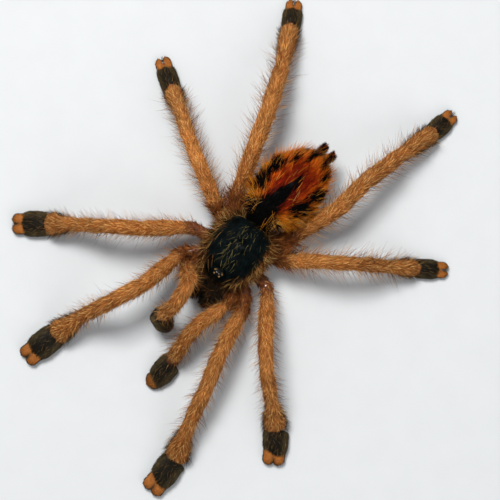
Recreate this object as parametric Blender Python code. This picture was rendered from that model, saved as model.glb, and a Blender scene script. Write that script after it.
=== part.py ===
"""A young pinktoe tarantula as a still, life-size model: it stands flat with its eight legs spread.

The animal faces -Y with its left side at +X, and its feet stand on the plane Z = 0. Sizes are in
millimetres and reach out to the tips of the coat. Each limb is a chain of straight pieces. Where it
bends, both pieces end on the plane that halves the bend, with a thin cut between them.
"""

import math

import bmesh
import bpy
from mathutils import Matrix, Vector

MM = 0.001  # metres in a millimetre
CUT = 0.3  # the thin cut between two pieces

# The trunk. Heights are above the floor.
CARAPACE_LENGTH = 9.0
CARAPACE_WIDTH = 7.2
CARAPACE_RIM_HEIGHT = 4.1
CARAPACE_RIM_DEPTH = 0.25
CARAPACE_TOP_HEIGHT = 6.5
STERNUM_LENGTH = 6.4
STERNUM_WIDTH = 4.4
STERNUM_HEIGHT = 1.8
ABDOMEN_LENGTH = 9.8
ABDOMEN_WIDTH = 8.1
ABDOMEN_BROADEST_HEIGHT = 5.4
ABDOMEN_RISE = 2.7
ABDOMEN_FALL = 4.0
ABDOMEN_SWING = 8.5  # degrees that the abdomen swings to the left of the carapace's line
WAIST = (-0.65, 3.7, 2.8)  # where the pedicel leaves the carapace
PEDICEL_LENGTH = 1.1
PEDICEL_WIDTH = 1.1
PEDICEL_DEPTH = 0.9
SPINNERET_LENGTH = 1.1
SPINNERET_WIDTH = 0.95
SPINNERET_SPREAD = 5  # degrees between each spinneret and the abdomen's line
SPINNERET_RISE = 6  # degrees above level
SPINNERET_SIDE_SHARE = 0.66  # how far its root is to the side, as a share of its width
SPINNERET_DROP = 0.6  # how far its root is below the abdomen's broadest line

# The head's pieces.
CHELICERA_LENGTH = 3.1
CHELICERA_WIDTH = 1.6
CHELICERA_DEPTH = 2.3
CHELICERA_ROOT_HEIGHT = 3.2
CHELICERA_INSET = 0.35  # how far its root is behind the carapace's front
CHELICERA_DROOP = 14  # degrees below level
FANG_LENGTH = 2.0
FANG_WIDTH = 0.75
FANG_INSET = 0.3  # how far its root is behind the chelicera's tip
FANG_TURN = 8  # degrees that a folded fang turns inwards
FANG_DROOP = 6
EYE_MOUND_SIZE = (1.5, 1.15, 1.0)
EYE_MOUND_DROP = 0.2  # how far its middle is below the carapace's top
EYE_MOUND_SHARE = 0.355  # how far ahead of the carapace's middle the mound is, as a share of its length
# The left eyes: how far out, ahead and up from the mound's middle, and how wide. The right mirror them.
EYES = (
    (0.21, 0.05, 0.47, 0.30),
    (0.42, 0.42, 0.27, 0.28),
    (0.62, -0.02, 0.27, 0.22),
    (0.42, -0.20, 0.36, 0.16),
)

# Where each limb leaves its coxa, for the left side: x and y. The right side mirrors them.
HIPS = {
    "leg1": (4.75, -3.9),
    "leg2": (5.65, -1.0),
    "leg3": (4.65, 2.45),
    "leg4": (3.9, 4.85),
    "palp": (3.35, -5.15),
}
HIP_HEIGHT = 2.75
COXA_ROOT = 0.3  # how far out a coxa starts, as a share of the way to its hip
COXA_WIDTH_SHARE = 0.76  # a coxa's width as a share of its femur's
COXA_DEPTH = 1.6
TROCHANTER_SHARE = 0.72  # width where a femur leaves the hip, as a share of the femur's width
TROCHANTER_REACH = 0.3  # how far along a femur its full width is reached

LEG_PIECES = ("femur", "patella", "tibia", "metatarsus", "tarsus")
PALP_PIECES = ("femur", "patella", "tibia", "tarsus")
LENGTHS = {  # of those pieces
    "leg1": (7.1, 4.3, 5.3, 4.6, 5.1),
    "leg2": (6.5, 4.0, 4.8, 4.1, 4.5),
    "leg3": (6.0, 3.8, 4.3, 4.0, 4.1),
    "leg4": (7.3, 4.5, 5.8, 5.3, 3.6),
    "palp": (4.9, 2.9, 3.6, 4.2),
}
# Widths of the same pieces. The last two are the cuff at the metatarsus's end, or the tibia's on a palp,
# and the tarsus, which its brush of hair broadens most on the front legs.
WIDTHS = {
    "leg1": (2.3, 2.3, 2.2, 2.1, 3.3, 3.5),
    "leg2": (2.3, 2.2, 2.1, 2.0, 3.1, 3.3),
    "leg3": (2.2, 2.1, 2.1, 1.9, 2.4, 2.6),
    "leg4": (2.4, 2.4, 2.4, 2.2, 2.5, 2.6),
    "palp": (2.2, 2.2, 2.1, 2.2, 3.1),
}
RIM_SHARE = 0.86  # width at a piece's two rims, as a share of its own width
RIM_LENGTH = 0.25  # how long a rim is
TAPER = 0.95  # a piece's width at its end, as a share of its own width
LIMB_DEPTH = 1.05  # a limb's height as a share of its width, away from the cuff
TOE_SHARE = 0.76  # width across the two toe pads, as a share of the tarsus's width
TARSUS_HEIGHT = 0.52  # a tarsus's height as a share of its width
ANKLE_HEIGHT = 1.3  # an ankle's height above the sole
SOLE_SHARE = 0.88  # the sole's depth below a tarsus's axis, as a share of the depth of its full oval
NOTCH_DEPTH = 0.12  # of the notch between the toe pads, as a share of a tarsus's length
NOTCH_WIDTH = 0.1  # as a share of a tarsus's width

# The stance: how each piece heads, in degrees from +X turning left, and how it rises, in degrees above
# level. Where the list of rises is short, the next piece comes down as steeply as it must to bring
# the ankle to its height, and the tarsus lies flat on the floor.
STANCE = {
    "leg1_left": {"headings": (-78, -73, -76, -73, -85), "rises": (16, -3, -15)},
    "leg2_left": {"headings": (-54, -49, -42, -42, -51), "rises": (29, 9, -36)},
    "leg3_left": {"headings": (36, 36, 34, 35, 35), "rises": (28, -2, -34)},
    "leg4_left": {"headings": (70, 84, 76, 74, 80), "rises": (20, 3, -22)},
    "leg1_right": {"headings": (-101, -113, -115, -107, -103), "rises": (34, 3, -40)},
    "leg2_right": {"headings": (-140, -144, -144, -143, -142), "rises": (26, 6, -30)},
    "leg3_right": {"headings": (151, 151, 147, 151, 148), "rises": (31, 7, -33)},
    "leg4_right": {"headings": (109, 108, 112, 117, 120), "rises": (22, 4, -23)},
    "palp_left": {"headings": (-107, -91, -83, -90), "rises": (22, -18)},
    "palp_right": {"headings": (-37, -83, -101, -41), "rises": (68, 0, -48, -55)},
}

LIMB_SIDES = 10
COXA_SIDES = 8
FOOT_SIDES = 12
JAW_SIDES = 12
FINGER_SIDES = 8
TRUNK_SIDES = 20
TRUNK_RINGS = 13
FOOT_RINGS = 10
CUFF_RINGS = 6
LIMB_RINGS = {"femur": 5, "patella": 4, "tibia": 5, "metatarsus": 5}
SHARP_ANGLE = 50  # degrees above which an edge is drawn sharp
COLOURS = {  # colour and roughness
    "carapace": ((0.030, 0.036, 0.034), 0.6),
    "underside": ((0.110, 0.055, 0.030), 0.7),
    "abdomen": ((0.480, 0.120, 0.020), 0.7),
    "leg": ((0.520, 0.230, 0.060), 0.7),
    "foot": ((0.060, 0.045, 0.030), 0.8),
    "jaw": ((0.070, 0.045, 0.028), 0.7),
    "fang": ((0.040, 0.012, 0.008), 0.2),
    "eye": ((0.020, 0.016, 0.014), 0.1),
}


class Workshop:
    """Where the pieces go: the shown ones, the cutters, and the stance that bears them all."""

    def __init__(self):
        self.shown = bpy.data.collections.new("tarantula")
        self.cutters = bpy.data.collections.new("cutters")
        self.cutters.hide_render = True
        for collection in (self.shown, self.cutters):
            bpy.context.scene.collection.children.link(collection)
        self.stance = bpy.data.objects.new("stance", None)
        self.shown.objects.link(self.stance)

    def add(self, name, mesh, start, axes):
        obj = bpy.data.objects.new(name, mesh)
        obj.location = start * MM
        obj.rotation_euler = axes.to_euler()
        obj.parent = self.stance
        return obj

    def piece(self, name, mesh, finish, start, axes=Matrix.Identity(3)):
        obj = self.add(name, mesh, start, axes)
        mesh.materials.append(material(finish))
        mesh.shade_smooth()
        mesh.set_sharp_from_angle(angle=math.radians(SHARP_ANGLE))
        self.shown.objects.link(obj)
        return obj

    def cut_or_join(self, piece, operation, name, mesh, start, axes=Matrix.Identity(3)):
        cutter = self.add(name, mesh, start, axes)
        cutter.hide_render = True
        cutter.display_type = "WIRE"
        self.cutters.objects.link(cutter)
        modifier = piece.modifiers.new(name, "BOOLEAN")
        modifier.operation = operation
        modifier.object = cutter
        modifier.solver = "EXACT"


def clear_scene():
    for obj in list(bpy.data.objects):
        bpy.data.objects.remove(obj)


def material(name):
    made = bpy.data.materials.get(name)
    if made is None:
        colour, roughness = COLOURS[name]
        made = bpy.data.materials.new(name)
        made.use_nodes = True
        shader = made.node_tree.nodes["Principled BSDF"]
        shader.inputs["Base Color"].default_value = (*colour, 1.0)
        shader.inputs["Roughness"].default_value = roughness
        shader.inputs["Metallic"].default_value = 0.0
    return made


def direction(heading, rise=0.0):
    h, r = math.radians(heading), math.radians(rise)
    return Vector((math.cos(r) * math.cos(h), math.cos(r) * math.sin(h), math.sin(r)))


def axes_along(along):
    """Turns a piece's own +Y to the direction, with its +X level and its +Z as upright as it can be."""
    side = along.cross(Vector((0, 0, 1))).normalized()
    return Matrix((side, along, side.cross(along))).transposed()


def ease(a, b, share):
    """Goes smoothly from a to b as the share goes from 0 to 1."""
    share = min(1.0, max(0.0, share))
    return a + (b - a) * share * share * (3 - 2 * share)


def oval(t, bluntness):
    """How full an oval is at t, from -1 at one tip to 1 at the other."""
    return max(0.0, 1 - abs(t) ** bluntness) ** (1 / 2.2)


def round_places(count):
    """Shares of a length for rings that crowd towards both round ends."""
    return [0.5 - 0.5 * math.cos(math.pi * i / (count - 1)) for i in range(count)]


def edged_places(count, edge):
    """Shares of a length for rings that are even but for one close to each end."""
    inner = [edge + (1 - 2 * edge) * i / (count - 3) for i in range(count - 2)]
    return [0.0] + inner + [1.0]


def tube(name, length, section, sides, places, squareness=2.0):
    """A cylinder along +Y with a ring at each place, shaped by section(share).

    The section gives the half width, the rise above the axis and the fall below it. A squareness of 2
    makes it an ellipse, and more makes it boxier.
    """
    bm = bmesh.new()
    bmesh.ops.create_cone(bm, cap_ends=True, segments=sides, radius1=1, radius2=1, depth=1)
    long_edges = [edge for edge in bm.edges if abs(edge.verts[0].co.z - edge.verts[1].co.z) > 0.5]
    bmesh.ops.subdivide_edges(bm, edges=long_edges, cuts=len(places) - 2)
    for vertex in bm.verts:
        share = places[round((vertex.co.z + 0.5) * (len(places) - 1))]
        half_width, rise, fall = section(share)
        across = math.copysign(abs(vertex.co.x) ** (2 / squareness), vertex.co.x)
        up = math.copysign(abs(vertex.co.y) ** (2 / squareness), vertex.co.y)
        vertex.co = Vector((across * half_width, share * length, up * (rise if up > 0 else fall))) * MM
    bmesh.ops.recalc_face_normals(bm, faces=bm.faces)
    mesh = bpy.data.meshes.new(name)
    bm.to_mesh(mesh)
    bm.free()
    return mesh


def ball(name, size, segments, rings):
    bm = bmesh.new()
    bmesh.ops.create_uvsphere(bm, u_segments=segments, v_segments=rings, radius=0.5 * MM)
    bmesh.ops.scale(bm, vec=Vector(size), verts=bm.verts)
    mesh = bpy.data.meshes.new(name)
    bm.to_mesh(mesh)
    bm.free()
    return mesh


def mitre(mesh, length, start_slope, end_slope, pivot_height=0.0):
    """Leans a piece's two ends into the planes that halve its bends, the lean fading along the piece.

    A slope is how far the plane moves along the piece for each step sideways and each step up.
    """
    for vertex in mesh.vertices:
        share = vertex.co.y / (length * MM)
        across, up = vertex.co.x, vertex.co.z - pivot_height * MM
        start_lean = start_slope[0] * across + start_slope[1] * up
        end_lean = end_slope[0] * across + end_slope[1] * up
        vertex.co.y += (1 - share) ** 2 * start_lean + share**2 * end_lean


def slope_of_bend(axes, along, other):
    """The slope, in a piece's own axes, of the plane that halves its bend with its neighbour."""
    normal = axes.transposed() @ (along + other)
    return -normal.x / normal.y, -normal.z / normal.y


# ---- the limbs ----


def limb_joints(limb):
    """The points where a limb's pieces meet, from its hip to its tip."""
    kind, side = limb.split("_")
    x, y = HIPS[kind]
    points = [Vector((x if side == "left" else -x, y, HIP_HEIGHT))]
    rises = STANCE[limb]["rises"]
    for index, length in enumerate(LENGTHS[kind]):
        if index < len(rises):
            rise = rises[index]
        elif index == len(rises):
            rise = -math.degrees(math.asin((points[-1].z - ANKLE_HEIGHT) / length))
        else:
            rise = 0
        points.append(points[-1] + direction(STANCE[limb]["headings"][index], rise) * length)
    return points


def directions_of(points):
    return [(end - start).normalized() for start, end in zip(points, points[1:])]


def limb_section(width, end_width, edge, root_share, root_reach):
    """A limb piece, with its rims eased in and its end broadened into a cuff where that is wider."""

    def section(share):
        rim = RIM_SHARE if share == 1.0 else ease(root_share, 1.0, share / root_reach)
        half = 0.5 * rim * ease(width, end_width, (share - 0.25) / (0.75 - edge))
        half_depth = 0.5 * rim * min(width * LIMB_DEPTH, 2 * half * LIMB_DEPTH)
        return half, half_depth, half_depth

    return section


def make_limb(limb, workshop):
    kind = limb.split("_")[0]
    pieces = PALP_PIECES if kind == "palp" else LEG_PIECES
    points = limb_joints(limb)
    alongs = directions_of([coxa_root(limb)] + points)
    widths = WIDTHS[kind]
    for index, piece in enumerate(pieces[:-1]):
        along = alongs[index + 1]
        axes = axes_along(along)
        length = (points[index + 1] - points[index]).length - CUT
        edge = RIM_LENGTH / length
        root = (TROCHANTER_SHARE, TROCHANTER_REACH) if piece == "femur" else (RIM_SHARE, edge)
        cuffed = index == len(pieces) - 2
        end_width = widths[index + 1] if cuffed else widths[index] * TAPER
        section = limb_section(widths[index], end_width, edge, *root)
        places = edged_places(CUFF_RINGS if cuffed else LIMB_RINGS[piece], edge)
        mesh = tube(f"{limb}_{piece}", length, section, LIMB_SIDES, places)
        start_slope = slope_of_bend(axes, along, alongs[index])
        mitre(mesh, length, start_slope, slope_of_bend(axes, along, alongs[index + 2]))
        workshop.piece(f"{limb}_{piece}", mesh, "leg", points[index] + along * CUT / 2, axes)
    make_tarsus(limb, points, alongs, workshop)


def make_tarsus(limb, points, alongs, workshop):
    """A foot: broad and low, drawn in to its two toe pads, with a flat sole."""
    kind = limb.split("_")[0]
    length = LENGTHS[kind][-1] - CUT
    width = WIDTHS[kind][-1]

    def section(share):
        rim = ease(0.88, 1.0, share / 0.12) * ease(1.0, 0.72, (share - 0.86) / 0.14)
        half = 0.5 * width * rim * ease(1.0, TOE_SHARE, (share - 0.62) / 0.12)
        half_height = 0.5 * width * TARSUS_HEIGHT * ease(1.0, 0.68, (share - 0.4) / 0.6) * rim
        return half, half_height, half_height

    name = f"{limb}_tarsus"
    mesh = tube(name, length, section, FOOT_SIDES, edged_places(FOOT_RINGS, 0.06), squareness=2.6)
    for vertex in mesh.vertices:
        half_height = section(vertex.co.y / (length * MM))[1] * MM
        vertex.co.z = max(0.0, vertex.co.z + SOLE_SHARE * half_height)
    notch_toes(mesh, length, width)
    axes = axes_along(alongs[-1])
    mitre(mesh, length, slope_of_bend(axes, alongs[-1], alongs[-2]), (0.0, 0.0), ANKLE_HEIGHT)
    sole = points[-2] + alongs[-1] * CUT / 2 - axes.col[2] * ANKLE_HEIGHT
    workshop.piece(name, mesh, "foot", sole, axes)


def notch_toes(mesh, length, width):
    """Pulls the middle of a foot's end back, so that the two toe pads stand apart."""
    for vertex in mesh.vertices:
        share = vertex.co.y / (length * MM)
        nearness = math.exp(-((vertex.co.x / (NOTCH_WIDTH * width * MM)) ** 2))
        vertex.co.y -= NOTCH_DEPTH * length * MM * nearness * ease(0, 1, (share - 0.8) / 0.2)


# ---- the trunk ----


def coxa_root(limb):
    hip = limb_joints(limb)[0]
    return Vector((hip.x * COXA_ROOT, hip.y * COXA_ROOT, HIP_HEIGHT))


def make_carapace(workshop):
    """The plate over head and chest: an oval, narrower and a little higher over the head."""
    middle_rise = CARAPACE_TOP_HEIGHT - CARAPACE_RIM_HEIGHT

    def section(share):
        t = 2 * share - 1
        half = 0.5 * CARAPACE_WIDTH * max(oval(t, 3.0), 0.25) * (1 - 0.22 * max(0.0, -t) ** 1.5)
        head_swell = 0.93 + 0.07 * math.exp(-(((t + 0.5) / 0.35) ** 2))
        dome = max(0.0, 1 - abs(t) ** 3.4) ** 0.6 * head_swell
        return half, max(middle_rise * dome, 0.6), CARAPACE_RIM_DEPTH

    places = round_places(TRUNK_RINGS)
    mesh = tube("carapace", CARAPACE_LENGTH, section, TRUNK_SIDES, places, squareness=2.2)
    start = Vector((0, -CARAPACE_LENGTH / 2, CARAPACE_RIM_HEIGHT))
    carapace = workshop.piece("carapace", mesh, "carapace", start)
    make_eyes(carapace, workshop)


def make_eyes(carapace, workshop):
    """The eight eyes, joined to the mound that bears them, which sits in a hollow of the carapace."""
    centre = Vector((0, -EYE_MOUND_SHARE * CARAPACE_LENGTH, CARAPACE_TOP_HEIGHT - EYE_MOUND_DROP))
    mound = workshop.piece("eye_mound", ball("eye_mound", EYE_MOUND_SIZE, 14, 8), "eye", centre)
    hollow = ball("eye_hollow", [size + 2 * CUT for size in EYE_MOUND_SIZE], 14, 8)
    workshop.cut_or_join(carapace, "DIFFERENCE", "eye_hollow", hollow, centre)
    for number, (out, ahead, up, width) in enumerate(EYES, 1):
        for side, word in ((1, "left"), (-1, "right")):
            name = f"eye_{number}_{word}"
            eye = centre + Vector((side * out, -ahead, up))
            workshop.cut_or_join(mound, "UNION", name, ball(name, [width] * 3, 8, 5), eye)


def make_underside(workshop):
    """The sternum with the ten coxae that ring it, joined into one plate."""
    half_depth = 0.5 * (CARAPACE_RIM_HEIGHT - CARAPACE_RIM_DEPTH - CUT - STERNUM_HEIGHT)

    def section(share):
        return 0.5 * STERNUM_WIDTH * max(oval(2 * share - 1, 2.4), 0.3), half_depth, half_depth

    places = round_places(8)
    mesh = tube("sternum_and_coxae", STERNUM_LENGTH, section, TRUNK_SIDES, places, squareness=3.0)
    start = Vector((0, -STERNUM_LENGTH / 2, STERNUM_HEIGHT + half_depth))
    sternum = workshop.piece("sternum_and_coxae", mesh, "underside", start)
    for limb in STANCE:
        add_coxa(limb, sternum, workshop)


def add_coxa(limb, sternum, workshop):
    points = [coxa_root(limb)] + limb_joints(limb)
    along, thigh = directions_of(points)[:2]
    length = (points[1] - points[0]).length - CUT / 2
    half = 0.5 * WIDTHS[limb.split("_")[0]][0] * COXA_WIDTH_SHARE

    def section(share):
        rim = ease(0.6, 1.0, share / 0.2) if share < 0.5 else ease(1.0, 0.86, (share - 0.9) / 0.1)
        return half * rim, 0.5 * COXA_DEPTH * rim, 0.5 * COXA_DEPTH * rim

    name = f"coxa_{limb}"
    mesh = tube(name, length, section, COXA_SIDES, edged_places(4, 0.12))
    axes = axes_along(along)
    mitre(mesh, length, (0.0, 0.0), slope_of_bend(axes, along, thigh))
    workshop.cut_or_join(sternum, "UNION", name, mesh, points[0], axes)


def make_jaws(workshop):
    """The two stout chelicerae under the carapace's front edge, with the fangs folded back below them."""
    along = direction(-90, -CHELICERA_DROOP)
    front = CHELICERA_INSET - 0.5 * CARAPACE_LENGTH
    for side, word in ((1, "left"), (-1, "right")):
        start = Vector((side * 0.5 * (CHELICERA_WIDTH + CUT), front, CHELICERA_ROOT_HEIGHT))

        def jaw(share):
            spread = ease(0.64, 1.0, share / 0.35) * ease(1.0, 0.5, (share - 0.75) / 0.25)
            bulge = ease(0.16, 1.0, (share - 0.1) / 0.4) * ease(1.0, 0.4, (share - 0.7) / 0.3)
            half_depth = 0.5 * CHELICERA_DEPTH
            sag = ease(0.7, 1.0, share / 0.3)
            return 0.5 * CHELICERA_WIDTH * spread, half_depth * bulge, half_depth * sag

        places = edged_places(8, 0.08)
        mesh = tube(f"chelicera_{word}", CHELICERA_LENGTH, jaw, JAW_SIDES, places, squareness=2.3)
        workshop.piece(f"chelicera_{word}", mesh, "jaw", start, axes_along(along))

        def fang(share):
            half = 0.5 * FANG_WIDTH * ease(1.0, 0.3, share)
            return half, half, half

        fang_mesh = tube(f"fang_{word}", FANG_LENGTH, fang, FINGER_SIDES, edged_places(6, 0.08))
        tip = start + along * (CHELICERA_LENGTH - FANG_INSET)
        low = tip - axes_along(along).col[2] * (0.5 * CHELICERA_DEPTH + CUT + 0.5 * FANG_WIDTH)
        folded = direction(90 + side * FANG_TURN, -FANG_DROOP)
        workshop.piece(f"fang_{word}", fang_mesh, "fang", low, axes_along(folded))


def make_abdomen(workshop):
    """The egg-shaped abdomen, the pedicel that joins it on, and the two long spinnerets at its end."""
    along = direction(90 - ABDOMEN_SWING)
    axes = axes_along(along)
    waist = Vector(WAIST)

    def stalk(share):
        half = 0.5 * PEDICEL_WIDTH * ease(0.8, 1.0, share / 0.2) * ease(1.0, 0.8, (share - 0.8) / 0.2)
        return half, 0.5 * PEDICEL_DEPTH, 0.5 * PEDICEL_DEPTH

    stalk_mesh = tube("pedicel", PEDICEL_LENGTH, stalk, LIMB_SIDES, edged_places(5, 0.15))
    workshop.piece("pedicel", stalk_mesh, "underside", waist, axes)

    def egg(share):
        t = 2 * share - 1
        slimming = 1 - 0.10 * max(0.0, t) - 0.04 * max(0.0, -t)
        full = max(oval(t, 2.7 if t < 0 else 2.1), 0.2) * slimming
        return 0.5 * ABDOMEN_WIDTH * full, ABDOMEN_RISE * full, ABDOMEN_FALL * full

    mesh = tube("abdomen", ABDOMEN_LENGTH, egg, TRUNK_SIDES, round_places(TRUNK_RINGS))
    front = waist + along * (PEDICEL_LENGTH + CUT)
    front.z = ABDOMEN_BROADEST_HEIGHT
    workshop.piece("abdomen", mesh, "abdomen", front, axes)
    rear = front + along * (ABDOMEN_LENGTH + CUT)
    for side, word in ((1, "left"), (-1, "right")):
        heading = 90 - ABDOMEN_SWING - side * SPINNERET_SPREAD

        def finger(share):
            half = 0.5 * SPINNERET_WIDTH * ease(1.0, 0.7, (share - 0.4) / 0.6)
            return half, half, half

        places = edged_places(5, 0.12)
        finger_mesh = tube(f"spinneret_{word}", SPINNERET_LENGTH, finger, FINGER_SIDES, places)
        root = rear + axes.col[0] * side * SPINNERET_SIDE_SHARE * SPINNERET_WIDTH
        root.z -= SPINNERET_DROP
        along_finger = direction(heading, SPINNERET_RISE)
        workshop.piece(f"spinneret_{word}", finger_mesh, "jaw", root, axes_along(along_finger))


def stand_on_floor(workshop):
    """Moves the whole animal so that the origin is on the floor below the middle of its box."""
    bpy.context.view_layer.update()
    pieces = workshop.shown.objects[1:]
    corners = [piece.matrix_world @ vertex.co for piece in pieces for vertex in piece.data.vertices]
    low = Vector(min(corner[axis] for corner in corners) for axis in range(3))
    high = Vector(max(corner[axis] for corner in corners) for axis in range(3))
    workshop.stance.location = (-(low.x + high.x) / 2, -(low.y + high.y) / 2, -low.z)


def main():
    clear_scene()
    workshop = Workshop()
    make_carapace(workshop)
    make_underside(workshop)
    make_jaws(workshop)
    make_abdomen(workshop)
    for limb in STANCE:
        make_limb(limb, workshop)
    stand_on_floor(workshop)


main()
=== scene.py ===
"""A young pinktoe tarantula, dressed: one skin over its flesh, a coat of solid hairs that lies
along it, and its back plate, eyes, fangs and claws as pieces of their own.

Sizes in this file are in millimetres, and each mesh is scaled to metres when it is made. Every
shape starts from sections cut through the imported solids, so the animal keeps their places.
"""

import math
from types import SimpleNamespace

import bpy
import numpy as np
from mathutils.kdtree import KDTree
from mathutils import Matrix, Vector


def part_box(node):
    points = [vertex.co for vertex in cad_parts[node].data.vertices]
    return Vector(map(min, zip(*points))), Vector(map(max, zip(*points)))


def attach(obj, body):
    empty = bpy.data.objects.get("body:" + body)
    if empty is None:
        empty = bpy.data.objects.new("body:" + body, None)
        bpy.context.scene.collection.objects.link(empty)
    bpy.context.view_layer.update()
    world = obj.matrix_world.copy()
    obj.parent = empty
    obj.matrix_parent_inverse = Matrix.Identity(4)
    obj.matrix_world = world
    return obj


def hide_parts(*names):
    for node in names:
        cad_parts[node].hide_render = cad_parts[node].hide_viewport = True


bl_info = {
    "name": "Pinktoe Tarantula",
    "version": (1, 0, 0),
    "blender": (4, 5, 0),
    "location": "View3D > Sidebar > Tarantula",
    "description": "Dresses a young pinktoe tarantula in skin, hair, plate, eyes, fangs and claws",
    "category": "Add Mesh",
}

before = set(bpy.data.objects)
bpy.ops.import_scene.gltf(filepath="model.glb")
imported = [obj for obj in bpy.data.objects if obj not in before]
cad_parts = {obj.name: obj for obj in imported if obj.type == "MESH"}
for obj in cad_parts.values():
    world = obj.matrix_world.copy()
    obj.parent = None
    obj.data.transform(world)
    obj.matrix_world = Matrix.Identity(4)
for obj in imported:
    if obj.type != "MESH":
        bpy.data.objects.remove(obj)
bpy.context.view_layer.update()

MM = 0.001  # metres in a millimetre

SIDES = ("left", "right")
LEGS = [f"leg{number}_{side}" for number in (1, 2, 3, 4) for side in SIDES]
PALPS = [f"palp_{side}" for side in SIDES]
LIMBS = LEGS + PALPS
UNDERSIDE = "sternum_and_coxae"

BACK = (0.0, 1.0, 0.0)
JAW_WAY = (0.0, -1.0, -0.2)  # roughly from a jaw's root to its tip
AHEAD = np.array([0.0, -1.0, 0.0])
UP = np.array([0.0, 0.0, 1.0])
LEVEL = (1, 1, 0)  # drops the height from a way
FLOOR_GAP = 0.02  # the lowest that a hair or a claw reaches

RIM_GAP = 0.45  # two neighbouring solids' facing rims are closer than this
SECTION_SHARES = (0.12, 0.3, 0.5, 0.7, 0.88)  # where a limb's solid is cut across
STATION_STEP = 0.12  # between the stations of a form
THINNEST = 0.06  # the least half width of a form
SKIN_VOXEL = 0.135
HAIR_SIDES = 3
TUFT_PATCH = 0.003  # how much of its map one hair takes
WHOLE_MAP = (0.02, 0.98, 0.02, 0.98)  # left, right, low and high
ABDOMEN_MAP = (0.02, 0.98, 0.02, 0.88)  # leaves room for the waist and the spinnerets


# ---- sizes and colours that a user would change ----


def length(name, description, millimetres):
    return bpy.props.FloatProperty(name=name, description=description, default=millimetres * MM,
                                   min=0.0, precision=6, unit="LENGTH")


def count(name, description, default):
    return bpy.props.IntProperty(name=name, description=description, default=default, min=0)


def colour(name, description, *default):
    return bpy.props.FloatVectorProperty(name=name, description=description, default=default,
                                         min=0.0, max=1.0, subtype="COLOR")


class CoatSizes(bpy.types.PropertyGroup):
    """How deep, long and dense the coat is."""

    leg_depth: length("Leg coat depth", "How far the legs' skin lies inside their outline", 0.32)
    foot_depth: length("Foot coat depth", "How far the feet's skin lies inside their outline", 0.16)
    abdomen_depth: length("Abdomen coat depth", "How far its skin lies inside its outline", 0.6)
    plate_depth: length("Plate coat depth", "How far the plate lies inside its outline", 0.2)
    body_depth: length("Underside coat depth", "How far its skin lies inside its outline", 0.15)
    leg_hair: length("Leg hair", "Length of the legs' short hair", 0.8)
    long_hair: length("Long hair", "Length of the legs' sparse long hairs", 2.15)
    abdomen_hair: length("Abdomen hair", "Length of the abdomen's hair", 1.35)
    plate_hair: length("Plate hair", "Length of the back plate's short hair", 0.5)
    velvet: length("Velvet", "Length of the feet's velvet", 0.38)
    hair_width: length("Hair width", "Width of a short hair at its root", 0.068)
    leg_count: count("Leg hairs", "Short hairs on each leg", 8800)
    long_count: count("Long leg hairs", "Long hairs on each leg", 1050)
    abdomen_count: count("Abdomen hairs", "Hairs on the abdomen", 12000)
    plate_count: count("Plate hairs", "Short hairs on the back plate", 8500)
    foot_count: count("Foot hairs", "Hairs of velvet on each foot", 2700)


class CoatColours(bpy.types.PropertyGroup):
    """The colours of the hair and of what lies under it."""

    amber: colour("Amber", "The legs' lighter hair", 0.84, 0.32, 0.075)
    russet: colour("Russet", "The legs' darker hair", 0.46, 0.135, 0.026)
    straw: colour("Straw", "The long pale hairs", 0.88, 0.50, 0.16)
    cuticle: colour("Cuticle", "The legs' skin", 0.15, 0.04, 0.016)
    olive: colour("Olive", "The brushes at the sides of the feet", 0.036, 0.026, 0.011)
    soot: colour("Soot", "The black hair of feet and abdomen", 0.0016, 0.0016, 0.0014)
    toe: colour("Toe pads", "The orange velvet of the toes", 0.42, 0.142, 0.027)
    crimson: colour("Crimson", "The abdomen's hair by its dark stripe", 0.21, 0.014, 0.003)
    flame: colour("Flame", "The abdomen's hair further out", 0.70, 0.10, 0.004)
    gold: colour("Gold", "The abdomen's hair at its edges", 0.76, 0.27, 0.018)
    plate: colour("Plate", "The short hair on the back plate", 0.0014, 0.0038, 0.0040)


class StageSizes(bpy.types.PropertyGroup):
    """The camera, the floor and the lights."""

    camera_height: length("Camera height", "Height of the camera above the floor", 250.0)
    frame_width: length("Frame width", "Width of floor that the camera sees", 60.0)
    turn: bpy.props.FloatProperty(
        name="Turn", description="How far the camera is turned about its own line of sight",
        default=math.radians(39), subtype="ANGLE")
    floor: colour("Floor", "The floor", 0.56, 0.57, 0.57)
    key_power: bpy.props.FloatProperty(
        name="Key light", description="Power of the key light", default=2.15, unit="POWER")


def coat_size(name):
    """One of the coat's lengths, in millimetres."""
    return getattr(bpy.context.scene.tarantula_coat, name) / MM


def coat_count(name):
    return getattr(bpy.context.scene.tarantula_coat, name)


def palette():
    """The coat's colours, by name."""
    colours = bpy.context.scene.tarantula_colours
    return SimpleNamespace(
        **{name: np.array(getattr(colours, name)) for name in CoatColours.__annotations__})


# ---- small mathematics ----


def unit(vectors):
    vectors = np.asarray(vectors, float)
    return vectors / np.maximum(np.linalg.norm(vectors, axis=-1, keepdims=True), 1e-12)


def dot(a, b):
    return np.sum(a * b, axis=-1)


def column(values):
    return np.asarray(values, float)[..., None]


def ease(values, low, high):
    """0 up to low, 1 from high on, and a smooth step between."""
    part = np.clip((np.asarray(values, float) - low) / (high - low), 0, 1)
    return part * part * (3 - 2 * part)


def mix(a, b, part):
    part = column(part)
    return np.asarray(a, float) * (1 - part) + np.asarray(b, float) * part


def along_surface(ways, normals):
    """The ways with what points off the surface taken out."""
    return unit(ways - normals * column(dot(ways, normals)))


def ripple(points, scale, seed):
    """A smooth random value, mostly from -1 to 1, that changes over about the given distance."""
    rng = np.random.default_rng(seed)
    total = np.zeros(len(points))
    for _ in range(7):
        heading = unit(rng.normal(size=3)) * 2 * math.pi / (scale * rng.uniform(0.7, 1.5))
        total += np.sin(points @ heading + rng.uniform(0, 2 * math.pi))
    return total / 2.6


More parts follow.
